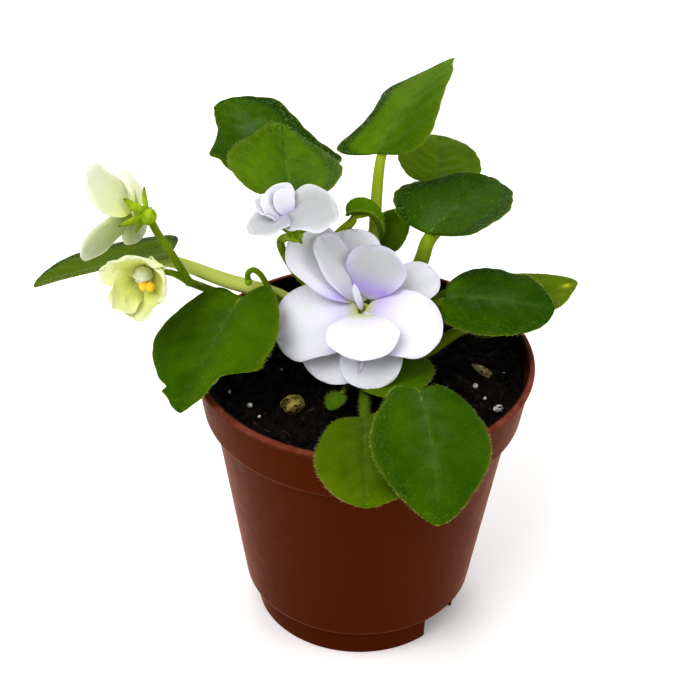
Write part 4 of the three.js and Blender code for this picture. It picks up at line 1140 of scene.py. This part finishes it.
def grain_finish(name, light, dark, spot=None):
    """A loose grain: two colours by noise, with crumbs of soil stuck on it if it has a spot
    colour."""
    made, tree = new_finish(name)
    layers = [(between(tree, grain(tree, 500, 4), 0.35, 0.65), light)]
    if spot:
        layers.append((between(tree, grain(tree, 850, 3), 0.56, 0.62), spot))
    return with_shader(made, {
        "Base Color": layered(tree, dark, *layers), "Roughness": 0.9, "Specular IOR Level": 0.25,
        "Normal": bumped(tree, (grain(tree, 1500, 4, 0.7), 0.8, 0.0004))})


def floor_finish(settings):
    """An even floor colour with the faintest grain."""
    made, tree = new_finish("floor_pale")
    pale = settings.floor_colour
    colour = layered(tree, pale, (between(tree, grain(tree, 30, 2), 0.2, 0.8, 0.0, 0.3),
                                  [0.98 * value for value in pale]))
    return with_shader(made, {"Base Color": colour, "Roughness": 0.9, "Specular IOR Level": 0.2})


def finish_called(name, maker, *arguments):
    """The material of that name, made the first time it is asked for."""
    return bpy.data.materials.get(name) or maker(*arguments)


# Settings that a user would change

def colour_setting(name, description, default):
    """A setting that holds a colour."""
    return FloatVectorProperty(name=name, description=description, default=default,
                               subtype="COLOR", size=3, min=0, max=1)


def length_setting(name, description, default, low, high):
    """A setting that holds a length in metres."""
    return FloatProperty(name=name, description=description, default=default, min=low, max=high,
                         unit="LENGTH", subtype="DISTANCE")


class VIOLET_PG_pot(bpy.types.PropertyGroup):
    """Edges and colour of the pot."""
    plastic_colour: colour_setting(
        "Plastic colour", "Colour of the pot's plastic", (0.082, 0.017, 0.0012))
    edge_rounding: length_setting(
        "Edge rounding", "Radius of the pot's rounded edges", 0.0005, 0.0001, 0.001)
    sides: IntProperty(
        name="Sides", description="Faces round the pot", default=160, min=48, max=256)


class VIOLET_PG_soil(bpy.types.PropertyGroup):
    """Colours and crumbs of the soil."""
    peat_colour: colour_setting("Peat colour", "Colour of the damp peat", (0.0045, 0.0032, 0.0024))
    crumb_colour: colour_setting(
        "Crumb colour", "Colour of the drier crumbs", (0.03, 0.017, 0.009))
    relief: length_setting(
        "Relief", "Height of the small crumbs in the surface", 0.0012, 0, 0.003)
    crumbs: IntProperty(
        name="Crumbs", description="Loose crumbs on the soil", default=900, min=0, max=3000)


class VIOLET_PG_leaf(bpy.types.PropertyGroup):
    """Colours, veins and hairs of the leaves."""
    deep_colour: colour_setting("Deep green", "Colour of the darkest leaves", (0.015, 0.06, 0.0006))
    bright_colour: colour_setting(
        "Bright green", "Colour of the brightest leaves", (0.115, 0.2, 0.001))
    vein_colour: colour_setting(
        "Vein colour", "Colour of the veins and midrib", (0.15, 0.24, 0.02))
    vein_depth: length_setting(
        "Vein depth", "How deep the veins lie in the blade", 0.00028, 0, 0.001)
    hair_length: length_setting(
        "Hair length", "Length of the hairs on blades and margins", 0.0007, 0.0001, 0.002)
    hairs: IntProperty(
        name="Hairs", description="Hairs on the upper face of a leaf of usual size",
        default=800, min=0, max=5000)


class VIOLET_PG_stem(bpy.types.PropertyGroup):
    """Colours and hairs of the petioles and flower stalks."""
    stem_deep_colour: colour_setting(
        "Stem green", "Colour of the greener stems", (0.1, 0.17, 0.006))
    stem_bright_colour: colour_setting(
        "Stem yellow-green", "Colour of the paler stems", (0.23, 0.31, 0.004))
    hair_length: length_setting(
        "Stem hair length", "Length of the hairs on stems", 0.0011, 0.0001, 0.003)
    hairs_per_millimetre: FloatProperty(
        name="Stem hairs", description="Hairs on each millimetre of stem", default=13, min=0,
        max=40)


class VIOLET_PG_flower(bpy.types.PropertyGroup):
    """Colours of the flowers."""
    petal_colour: colour_setting(
        "Petal colour", "Colour of an open petal", (0.755, 0.755, 0.79))
    blush_colour: colour_setting(
        "Blush colour", "Violet at the foot of a petal", (0.33, 0.2, 0.75))
    unripe_colour: colour_setting(
        "Unripe colour", "Green of petals that aren't ripe yet", (0.77, 0.82, 0.29))
    throat_colour: colour_setting(
        "Throat colour", "Yellow-green deep in the throat and in the bud", (0.36, 0.42, 0.015))


class VIOLET_PG_stage(bpy.types.PropertyGroup):
    """Floor, light and camera."""
    floor_colour: colour_setting("Floor colour", "Colour of the pale floor", (0.97, 0.97, 0.97))
    sky_strength: FloatProperty(
        name="Sky strength", description="Strength of the even light from all round",
        default=0.56, min=0, max=5)
    lamp_power: FloatProperty(
        name="Lamp power", description="Power of the main soft lamp", default=4.5, min=0,
        max=100, unit="POWER")
    camera_distance: length_setting(
        "Camera distance", "From the camera to the point it looks at", 0.5, 0.2, 3)
    camera_elevation: FloatProperty(
        name="Camera elevation", description="How far the camera looks down",
        default=math.radians(34.4), min=0, max=1.5, subtype="ANGLE")
    camera_roll: FloatProperty(
        name="Camera roll", description="Turn of the camera round its own line of sight",
        default=math.radians(1.5), min=-0.5, max=0.5, subtype="ANGLE")
    lens: FloatProperty(
        name="Lens", description="Focal length on a 36 mm wide sensor, in millimetres",
        default=98.0, min=20, max=300)


# Turned shapes and cuts

def rounded(corners, radius, steps=4):
    """A profile whose corners are replaced by short arcs: points of a quadratic curve from one
    side of the corner to the other, each as far from it as the radius or a third of the side."""
    made = [np.array([corners[0]])]
    for before, here, after in zip(corners[:-2], corners[1:-1], corners[2:]):
        before, here, after = (np.array(place, float) for place in (before, here, after))
        back, ahead = before - here, after - here
        cut = [side / np.linalg.norm(side) * min(radius, np.linalg.norm(side) / 3)
               for side in (back, ahead)]
        t = np.linspace(0, 1, steps)[:, None]
        made.append((1 - t) ** 2 * (here + cut[0]) + 2 * t * (1 - t) * here
                    + t ** 2 * (here + cut[1]))
    made.append(np.array([corners[-1]]))
    return np.concatenate(made)


def turned(profile, sides, **marks):
    """A profile of (radius, level) carried round the pot's axis, both its ends on the axis."""
    turn = np.linspace(0, TURN, sides, endpoint=False)
    radius, level = profile[:, :1], profile[:, 1:]
    return ringed(np.stack([radius * np.cos(turn), radius * np.sin(turn),
                            level * np.ones_like(turn)], -1), **marks)


def cut_away(piece, name, skin):
    """Takes the room of a closed cutter out of a piece and drops the cutter."""
    cutter = shown(name, mesh_of(name, (skin["points"] + POT_AXIS) * MM, skin["quads"],
                                 skin["triangles"])[0])
    cut = piece.modifiers.new("cut", "BOOLEAN")
    cut.operation, cut.solver, cut.object = "DIFFERENCE", "EXACT", cutter
    shaped = bpy.data.meshes.new_from_object(
        piece.evaluated_get(bpy.context.evaluated_depsgraph_get()))
    piece.modifiers.clear()
    old, piece.data = piece.data, shaped
    shaped.name = piece.name
    for mesh in (old, cutter.data):
        bpy.data.meshes.remove(mesh)


def box_part(low, high, heading):
    """A cutting block between two corners, turned to a heading round the pot's axis."""
    x, y, z = (np.array(pair, float) for pair in zip(low, high))
    points = np.array([[x[i], y[j], z[k]] for k in (0, 1) for j in (0, 1) for i in (0, 1)])
    turn = math.radians(heading)
    spun = points @ np.array([[math.cos(turn), math.sin(turn), 0],
                              [-math.sin(turn), math.cos(turn), 0], [0, 0, 1]])
    return part(spun, [[0, 2, 3, 1], [4, 5, 7, 6], [0, 1, 5, 4], [2, 6, 7, 3], [0, 4, 6, 2],
                       [1, 3, 7, 5]])


# Parts of the soil, the stalks and the flowers

def soil_height(x, y, relief):
    """The broad swell and lumps of the part's own soil, with finer crumbs added."""
    broad = np.sin(0.21 * x + 0.6) * np.cos(0.17 * y - 0.4)
    lumps = np.sin(0.83 * x + 1.3 * np.sin(0.5 * y)) * np.cos(0.71 * y + 0.9)
    crumbs = np.sin(1.9 * x - 0.7 * y) * np.sin(1.6 * y + 0.8 * x)
    fine = sum(weight * (lattice_noise(x, y, size, seed) - 0.5)
               for weight, size, seed in ((1.6, 3.1, 5), (1.1, 1.5, 6), (0.7, 0.8, 7)))
    return 0.8 * broad + 0.5 * lumps + 0.3 * crumbs + relief * fine


def crumbs_part(x, y, z, size, rng):
    """Loose crumbs: each an octahedron whose six corners are moved at random."""
    corner = np.array([[1, 0, 0], [-1, 0, 0], [0, 1, 0], [0, -1, 0], [0, 0, 1], [0, 0, -1.0]])
    face = np.array([[0, 2, 4], [2, 1, 4], [1, 3, 4], [3, 0, 4], [2, 0, 5], [1, 2, 5],
                     [3, 1, 5], [0, 3, 5]])
    count = len(x)
    turn = rng.uniform(0, TURN, count)
    moved = corner * rng.uniform(0.55, 1.2, (count, 6, 1))
    moved = moved + rng.uniform(-0.22, 0.22, (count, 6, 3))
    cos, sin = np.cos(turn)[:, None], np.sin(turn)[:, None]
    spun = np.stack([moved[..., 0] * cos - moved[..., 1] * sin,
                     moved[..., 0] * sin + moved[..., 1] * cos, 0.75 * moved[..., 2]], -1)
    points = np.stack([x, y, z], -1)[:, None] + spun * size[:, None, None]
    return part(points.reshape(-1, 3), (), 6 * np.arange(count)[:, None, None] + face)


def fibre_part(relief, rng):
    """A thin bowed fibre that lies on the soil at a random place."""
    far, where = FIBRE_REACH * math.sqrt(rng.uniform(0.08, 1)), rng.uniform(0, TURN)
    way = rng.uniform(0, TURN)
    step = np.linspace(-0.5, 0.5, 5) * rng.uniform(2, 6.5)
    bow = rng.uniform(-1.2, 1.2) * np.cos(step)
    x = far * math.cos(where) + step * math.cos(way) - bow * math.sin(way)
    y = far * math.sin(where) + step * math.sin(way) + bow * math.cos(way)
    inside = np.minimum(1, FIBRE_LIMIT / np.maximum(np.hypot(x, y), 1e-6))
    x, y = x * inside, y * inside
    z = SOIL_LEVEL + soil_height(x, y, relief) + rng.uniform(0.1, 0.7)
    return stem(np.stack([x, y, z], -1), *FIBRE_RADII, 1, 12, 5)


def stalk_parts(routes, flowers, stems, seed):
    """Round stalks with hairs, and a calyx behind each flower."""
    parts = []
    for number, (places, radii) in enumerate(routes):
        parts.append(stem(places, *radii, 0, 60, tone=0.55))
        parts.append(stem_hairs(places, radii, stems.hairs_per_millimetre,
                                stems.hair_length / MM, seed + number))
    for flower in flowers:
        parts.extend(calyx(flower))
    return parts


def heart_part(flower):
    """The short tube that the petals grow from: a turned cup with a shallow green throat."""
    r = flower["heart"]
    profile = rounded([(0, -1.12 * r), (0.5 * r, -0.98 * r), (0.9 * r, -0.5 * r),
                       (0.84 * r, -0.3 * r), (0.66 * r, -0.18 * r), (0.44 * r, -0.3 * r),
                       (0.28 * r, -0.68 * r), (0, -0.76 * r)], 0.15 * r, 5)
    made = turned(profile, 36)
    x, y, level = made["points"].T
    made["points"] = in_flower(flower, x[:, None], y[:, None], level[:, None])
    deep = smooth((0.95 * r - np.hypot(x, y)) / (0.2 * r)) * (level > -0.8 * r)
    behind = smooth((-level - 0.2 * r) / (0.8 * r))
    green = np.clip(0.4 * behind + flower.get("green", 0), 0, 1)
    made["marks"] = {"green": green, "lime": 0.9 * deep}
    return made


def stand(made, place, right, top, back):
    """Puts a lamp or camera at a place in metres, its own axes along three directions."""
    made.matrix_world = Matrix.LocRotScale(
        tuple(place), Matrix(np.stack([right, top, back], -1).tolist()), None)


# Operators, one for each piece or group of like pieces

class VIOLET_OT_pot(bpy.types.Operator):
    """Make the nursery pot: a turned shell with a thin lip, a collar and a notched foot ring"""
    bl_idname = "violet.pot"
    bl_label = "Pot"

    def execute(self, context):
        settings = context.scene.violet_pot
        ring_inner = RING_RADIUS - RING_WIDTH
        corners = [
            (0, RING_HEIGHT), (ring_inner, RING_HEIGHT), (ring_inner, 0), (RING_RADIUS - 0.2, 0),
            (RING_RADIUS + 0.1, RING_HEIGHT - 1.6), (RING_RADIUS + 0.9, RING_HEIGHT - 0.2),
            (BODY_FOOT_RADIUS - 0.5, RING_HEIGHT + 0.2),
            (BODY_FOOT_RADIUS + 0.05, RING_HEIGHT + 1.2),
            (BODY_TOP_RADIUS, COLLAR_LEVEL - 0.5), (COLLAR_FOOT_RADIUS - 0.4, COLLAR_LEVEL),
            (COLLAR_FOOT_RADIUS + 0.1, COLLAR_LEVEL + 0.9), (LIP_RADIUS - 0.1, POT_HEIGHT - 2.6),
            (LIP_RADIUS + 0.05, POT_HEIGHT - 2.0), (RIM_RADIUS, POT_HEIGHT - 1.6),
            (RIM_RADIUS, POT_HEIGHT - 0.5), (LIP_RADIUS, POT_HEIGHT),
            (LIP_RADIUS - WALL, POT_HEIGHT - 0.3), (COLLAR_FOOT_RADIUS - WALL, COLLAR_LEVEL + 0.6),
            (BODY_TOP_RADIUS - WALL, COLLAR_LEVEL - 1.2),
            (BODY_FOOT_RADIUS - WALL, RING_HEIGHT + WALL), (0, RING_HEIGHT + WALL)]
        shell = turned(rounded(corners, settings.edge_rounding / MM), settings.sides)
        away, level = np.hypot(*shell["points"][:, :2].T), shell["points"][:, 2]
        wall = np.where(level > COLLAR_LEVEL,
                        COLLAR_FOOT_RADIUS - WALL / 2 + (level - COLLAR_LEVEL) * COLLAR_LEAN,
                        BODY_TOP_RADIUS - WALL / 2)
        # The inner wall near the top: near-black, partly soil stain and partly painted shade
        shell["marks"]["inside"] = ((away < wall) & (level > COLLAR_LEVEL - 3)) * smooth(
            (POT_HEIGHT - level) / 0.4)
        # The lip's top, lighter: partly wear, partly painted highlight
        shell["marks"]["lip"] = (away > LIP_RADIUS - WALL / 2) * smooth(level - POT_HEIGHT + 1.4)
        finish = finish_called("red_brown_plastic", pot_finish, settings)
        piece = make_piece("nursery_pot", [shell], [finish], "pot")
        reach = 2 * RING_RADIUS
        cut_away(piece, "notch_cutter", box_part(
            (-reach, -NOTCH_WIDTH / 2, -NOTCH_HEIGHT), (reach, NOTCH_WIDTH / 2, NOTCH_HEIGHT),
            NOTCH_HEADING))
        low, high = RING_HEIGHT - 3, RING_HEIGHT + 5
        for heading in HOLE_HEADINGS:
            hole = turned(np.array([[0, low], [HOLE_RADIUS, low], [HOLE_RADIUS, high],
                                    [0, high]]), HOLE_SIDES)
            hole["points"] += HOLE_DISTANCE * towards(heading)
            cut_away(piece, "drain_cutter", hole)
        piece.data.shade_smooth()
        piece.data.set_sharp_from_angle(angle=math.radians(SHARP_EDGE))
        return {"FINISHED"}


class VIOLET_OT_soil(bpy.types.Operator):
    """Make the soil: a round bed of peat with crumbs and fibres"""
    bl_idname = "violet.soil"
    bl_label = "Soil"

    def execute(self, context):
        settings = context.scene.violet_soil
        relief = settings.relief / MM
        edge = COLLAR_FOOT_RADIUS - WALL - 0.1 + (SOIL_LEVEL - COLLAR_LEVEL) * 0.12
        low, gap = RING_HEIGHT + WALL + SOIL_GAP, WALL + SOIL_GAP
        down = rounded([(0, low), (BODY_FOOT_RADIUS - gap, low),
                        (BODY_TOP_RADIUS - gap, COLLAR_LEVEL - 1.5),
                        (COLLAR_FOOT_RADIUS - gap, COLLAR_LEVEL + 1.8),
                        (edge, SOIL_LEVEL - 1.2)], 0.5)
        turn = np.linspace(0, TURN, SOIL_SIDES, endpoint=False)
        radius = np.concatenate([down[:, 0], np.linspace(edge, 0, SOIL_RINGS)])[:, None]
        level = np.concatenate([down[:, 1], np.full(SOIL_RINGS, SOIL_LEVEL)])[:, None]
        x, y = radius * np.cos(turn), radius * np.sin(turn)
        on_top = np.repeat([0, 1], [len(down), SOIL_RINGS])[:, None]
        bank = smooth((radius - edge + BANK_WIDTH) / BANK_WIDTH)
        z = level + on_top * (soil_height(x, y, relief) + BANK_HEIGHT * bank)
        parts = [ringed(np.stack([x, y, z], -1))]
        rng = np.random.default_rng(CRUMB_SEED)
        count = settings.crumbs
        far = np.sqrt(rng.uniform(0.02, 0.97, count)) * (edge - 1)
        where = rng.uniform(0, TURN, count)
        cx, cy = far * np.cos(where), far * np.sin(where)
        size = rng.gamma(2.2, 0.28, count) + 0.25
        parts.append(crumbs_part(cx, cy, SOIL_LEVEL + soil_height(cx, cy, relief) + 0.25 * size,
                                 np.clip(size, 0.25, 1.7), rng))
        parts.extend(fibre_part(relief, rng) for _ in range(FIBRES))
        finishes = [finish_called("soil_peat", soil_finish, settings),
                    finish_called("fibre_brown", grain_finish, "fibre_brown",
                                  (0.16, 0.08, 0.04), (0.03, 0.016, 0.008))]
        make_piece("soil_peat", parts, finishes, "soil")
        return {"FINISHED"}


class VIOLET_OT_grains(bpy.types.Operator):
    """Make the loose grains on the soil: a pale lump, a bark chip, perlite and white specks"""
    bl_idname = "violet.grains"
    bl_label = "Loose grains"

    def execute(self, context):
        for number, (node, loose) in enumerate(GRAINS.items()):
            finish = grain_finish(f"{loose['slot']}_finish", loose["light"], loose["dark"],
                                  loose["spot"])
            axis = towards(loose["heading"], -loose["tilt"])
            made = lump(loose["centre"], np.array(loose["size"][::-1]) / 2, 1.0, axis,
                        loose["rough"], number + 4, rows=26, sides=30)
            make_piece(f"{node}_rough", [made], [finish], node)
        specks = np.array(SPECKS)
        rng = np.random.default_rng(SPECK_SEED)
        relief = context.scene.violet_soil.relief / MM
        level = SOIL_LEVEL + soil_height(specks[:, 0], specks[:, 1], relief) + 0.3
        parts = [lump((x, y, z), size / 2, 0.8, rng.normal(size=3), 0.16, number, rows=10,
                      sides=12)
                 for number, ((x, y, size), z) in enumerate(zip(specks, level))]
        make_piece("white_specks", parts, [bpy.data.materials["perlite_finish"]], None)
        return {"FINISHED"}


class VIOLET_OT_crown(bpy.types.Operator):
    """Make the short crown in the soil that every stem grows from"""
    bl_idname = "violet.crown"
    bl_label = "Crown"

    def execute(self, context):
        r, low, top = CROWN_RADIUS, SOIL_LEVEL - CROWN_DEPTH, SOIL_LEVEL + CROWN_HEIGHT
        profile = rounded([(0, low), (0.6 * r, low), (0.8 * r, SOIL_LEVEL - 5),
                           (r, SOIL_LEVEL + 2), (0.93 * r, SOIL_LEVEL + 7),
                           (0.6 * r, top - 1.5), (0, top)], 1.2, 6)
        fine = np.concatenate([np.linspace(a, b, 4, endpoint=False)
                               for a, b in zip(profile[:-1], profile[1:])] + [profile[-1:]])
        made = turned(fine, 48, tone=0.15)
        points = made["points"]
        turn = np.arctan2(points[:, 1], points[:, 0])
        scar = 0.3 * np.sin(5 * turn + 0.9 * points[:, 2]) * np.sin(1.1 * points[:, 2])
        away = np.hypot(points[:, 0], points[:, 1])
        grown = 1 + scar * (away > 2) / np.maximum(away, 1)
        points[:, :2] = points[:, :2] * grown[:, None] + CROWN_CENTRE
        finish = finish_called("stem_green", stem_finish, context.scene.violet_stem)
        make_piece("crown_stem", [made], [finish], "crown")
        return {"FINISHED"}


class VIOLET_OT_leaves(bpy.types.Operator):
    """Make the leaves: veined blades, round petioles and short pale hairs"""
    bl_idname = "violet.leaves"
    bl_label = "Leaves"

    def execute(self, context):
        settings, stems = context.scene.violet_leaf, context.scene.violet_stem
        finishes = [finish_called("leaf_green", leaf_finish, settings),
                    finish_called("stem_green", stem_finish, stems),
                    finish_called("hair_pale", hair_finish)]
        for number, (node, leaf) in enumerate(LEAVES.items()):
            route = leaf_route(leaf)
            radii = (leaf.get("stem_radius", PETIOLE_RADIUS), RIB_END_RADIUS)
            # A leaf's own stem tone, where it gives one, is painted shade for a petiole in shade
            tone = leaf.get("stem_tone", 0.25 + 0.75 * min(1, leaf["tone"] + 0.25))
            parts = [leaf_blade(leaf, settings.vein_depth),
                     stem(route, *radii, PETIOLE_FINISH, tone=tone, taper=PETIOLE_TAPER,
                          pale=leaf.get("stem_pale", 0.1)),
                     *leaf_hairs(leaf, settings.hair_length, settings.hairs,
                                 LEAF_HAIR_SEED + number),
                     stem_hairs(route, radii, stems.hairs_per_millimetre, stems.hair_length / MM,
                                PETIOLE_HAIR_SEED + number, skip=0.08, taper=PETIOLE_TAPER)]
            make_piece(node.replace("leaf_", "hairy_leaf_"), parts, finishes, node)
        return {"FINISHED"}


class VIOLET_OT_stalks(bpy.types.Operator):
    """Make the flower stalks with their calyces, and the young shoot that still curls"""
    bl_idname = "violet.stalks"
    bl_label = "Stalks"

    def execute(self, context):
        stems = context.scene.violet_stem
        finishes = [finish_called("stem_green", stem_finish, stems),
                    finish_called("calyx_green", calyx_finish),
                    finish_called("hair_pale", hair_finish)]
        opened, upper, nodding, bud = (FLOWERS[name]
                                       for name in ("open", "upper", "nodding", "bud"))
        foot, even = crown_root(230, 10.5), (STALK_RADIUS, STALK_RADIUS)
        middle = [
            ([foot, (-0.9, -0.9, 88), calyx_centre(opened)], even),
            ([foot, (-8, 2.8, 91.5), (-18.5, 7, 101), (-22.3, 6.8, 109.5),
              calyx_centre(upper)], even),
        ]
        parts = stalk_parts(middle, [opened, upper], stems, MIDDLE_STALK_SEED)
        make_piece("stalk_middle_hairy", parts, finishes, "stalk_middle")
        fork = (-46, 6, 97.5)
        left = [
            ([crown_root(160, 1), (-16, 8, 82.5), (-30, 12, 87), (-42, 14, 90.4), fork],
             (1.3 * STALK_RADIUS, STALK_RADIUS)),
            ([fork, (-49.5, -0.5, 109.8), (-52.6, -2.5, 117), calyx_centre(nodding)],
             (STALK_RADIUS, 0.9 * STALK_RADIUS)),
            ([fork, (-50, 1.5, 103), (-54, -1.5, 105), calyx_centre(bud)],
             (0.9 * STALK_RADIUS, 0.7 * STALK_RADIUS)),
        ]
        parts = stalk_parts(left, [nodding, bud], stems, LEFT_STALK_SEED)
        parts.append(lump(fork, 1.15 * STALK_RADIUS, 1.0, (0, 0, 1), tone=0.55))
        make_piece("stalk_left_hairy", parts, finishes, "stalk_left")
        shoot = [crown_root(183, 8.5), (-14, 3.5, 90), (-24, 4.8, 95), (-26, 5, 98.5),
                 (-27.6, 5, 101.3), (-29.3, 5, 102.4), (-30.6, 5, 101.3), (-30.5, 5, 98.8)]
        parts = [stem(shoot, *SHOOT_RADII, 0, 80, tone=0.3),
                 stem_hairs(shoot, SHOOT_RADII, 1.3 * stems.hairs_per_millimetre,
                            SHOOT_HAIR_LENGTH, SHOOT_SEED),
                 lump(shoot[-1], 0.95, 1.3, (0, 0, -1), 0.06, 2, CALYX_FINISH)]
        make_piece("young_shoot_hairy", parts, finishes, "young_shoot")
        return {"FINISHED"}


class VIOLET_OT_flowers(bpy.types.Operator):
    """Make the flowers: waved, veined petals round a green throat, and the bud's anthers"""
    bl_idname = "violet.flowers"
    bl_label = "Flowers"

    def execute(self, context):
        finish = finish_called("petal_white", petal_finish, context.scene.violet_flower)
        for name, flower in FLOWERS.items():
            parts = [petal(entry, flower, number)
                     for number, entry in enumerate(flower["petals"])]
            parts.append(heart_part(flower))
            if "knob" in flower:
                out = flower_basis(*flower["facing"])["up"]
                # The bud's knob, a little green and with a touch of painted grey shade
                parts.append(lump(in_flower(flower, *flower["knob"]), 2.4, 1.75, out, 0.07, 5,
                                  rows=24, sides=32, green=0.3, shade=0.1))
            make_piece(f"flower_{name}", parts, [finish], f"corolla_{name}")
        bud = FLOWERS["bud"]
        aside = flower_basis(*bud["facing"])["side"]
        parts = [lump(in_flower(bud, across, -1, 5.6), 1.3, 0.9, aside, 0.05, number, rows=16,
                      sides=20)
                 for number, across in enumerate((0.79, 2.61))]
        parts.append(stem([in_flower(bud, 1.7, -1, above) for above in (5.6, 3.4, 1.1)], 0.5,
                          0.5, 0, 12, 12))
        make_piece("anther_pair", parts, [anther_finish()], "anthers_bud")
        return {"FINISHED"}


class VIOLET_OT_stage(bpy.types.Operator):
    """Make the plain pale floor, the soft light and the camera"""
    bl_idname = "violet.stage"
    bl_label = "Stage"

    def execute(self, context):
        settings = context.scene.violet_stage
        scene = context.scene
        turn, away = np.meshgrid(np.linspace(0, TURN, 72, endpoint=False),
                                 np.linspace(0, FLOOR_RADIUS, 13), indexing="xy")
        points = np.stack([away * np.cos(turn), away * np.sin(turn), np.zeros_like(turn)], -1)
        ids = np.arange(turn.size).reshape(turn.shape)
        ids[0, :] = 0
        faces = grid_faces(np.concatenate([ids, ids[:, :1]], axis=1)[:, ::-1])
        floor = shown("floor", mesh_of("floor", points.reshape(-1, 3), *faces)[0])
        floor.data.materials.append(floor_finish(settings))
        world = bpy.data.worlds.new("soft_sky")
        world.use_nodes = True
        sky = world.node_tree.nodes["Background"]
        sky.inputs["Color"].default_value = (1, 1, 1, 1)
        sky.inputs["Strength"].default_value = settings.sky_strength
        scene.world = world
        scene.view_settings.view_transform = "Standard"
        scene.view_settings.look = "High Contrast"
        for name, (place, aim, size, share) in LAMPS.items():
            lamp = bpy.data.lights.new(name, "AREA")
            lamp.shape, lamp.size, lamp.energy = "SQUARE", size, share * settings.lamp_power
            back = unit(np.array(place) - aim)
            side = unit(np.cross(WORLD["up"], back))
            stand(shown(name, lamp), place, side, np.cross(back, side), back)
        lift, roll = settings.camera_elevation, settings.camera_roll
        back = np.array([0, -math.cos(lift), math.sin(lift)])
        level = WORLD["side"]
        up = np.cross(back, level)
        data = bpy.data.cameras.new("camera")
        data.lens, data.sensor_width = settings.lens, SENSOR_WIDTH
        data.clip_start, data.clip_end = SEEN_DISTANCES
        scene.camera = shown("camera", data)
        stand(scene.camera, (POT_AXIS + LOOKED_AT) * MM + back * settings.camera_distance,
              level * math.cos(roll) + up * math.sin(roll),
              up * math.cos(roll) - level * math.sin(roll), back)
        return {"FINISHED"}


# Settings of the scene, with the heading and the operators that the panel shows for each
GROUPS = {
    "violet_pot": (VIOLET_PG_pot, "Pot", ("violet.pot",)),
    "violet_soil": (VIOLET_PG_soil, "Soil", ("violet.soil", "violet.grains")),
    "violet_stem": (VIOLET_PG_stem, "Stems", ("violet.crown", "violet.stalks")),
    "violet_leaf": (VIOLET_PG_leaf, "Leaves", ("violet.leaves",)),
    "violet_flower": (VIOLET_PG_flower, "Flowers", ("violet.flowers",)),
    "violet_stage": (VIOLET_PG_stage, "Stage", ("violet.stage",)),
}


class VIOLET_PT_panel(bpy.types.Panel):
    """Lists the pieces of the potted African violet and their settings"""
    bl_label = "Potted African violet"
    bl_idname = "VIOLET_PT_panel"
    bl_space_type = "VIEW_3D"
    bl_region_type = "UI"
    bl_category = "African violet"

    def draw(self, context):
        for group, (_, label, names) in GROUPS.items():
            box = self.layout.box()
            box.label(text=label)
            settings = getattr(context.scene, group)
            for key in settings.__annotations__:
                box.prop(settings, key)
            for name in names:
                box.operator(name)


CLASSES = (*(kind for kind, _, _ in GROUPS.values()), VIOLET_OT_pot, VIOLET_OT_soil,
           VIOLET_OT_grains, VIOLET_OT_crown, VIOLET_OT_leaves, VIOLET_OT_stalks,
           VIOLET_OT_flowers, VIOLET_OT_stage, VIOLET_PT_panel)


def register():
    """Makes the panel, the operators and the settings known to Blender."""
    for kind in CLASSES:
        bpy.utils.register_class(kind)
    for name, (kind, _, _) in GROUPS.items():
        setattr(bpy.types.Scene, name, PointerProperty(type=kind))


def unregister():
    """Takes them out again."""
    for name in GROUPS:
        delattr(bpy.types.Scene, name)
    for kind in reversed(CLASSES):
        bpy.utils.unregister_class(kind)


def main():
    """Registers the add-on and makes every piece in order."""
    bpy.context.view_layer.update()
    register()
    bpy.ops.violet.pot()
    bpy.ops.violet.soil()
    bpy.ops.violet.grains()
    bpy.ops.violet.crown()
    bpy.ops.violet.leaves()
    bpy.ops.violet.stalks()
    bpy.ops.violet.flowers()
    bpy.ops.violet.stage()


if __name__ == "__main__":
    main()
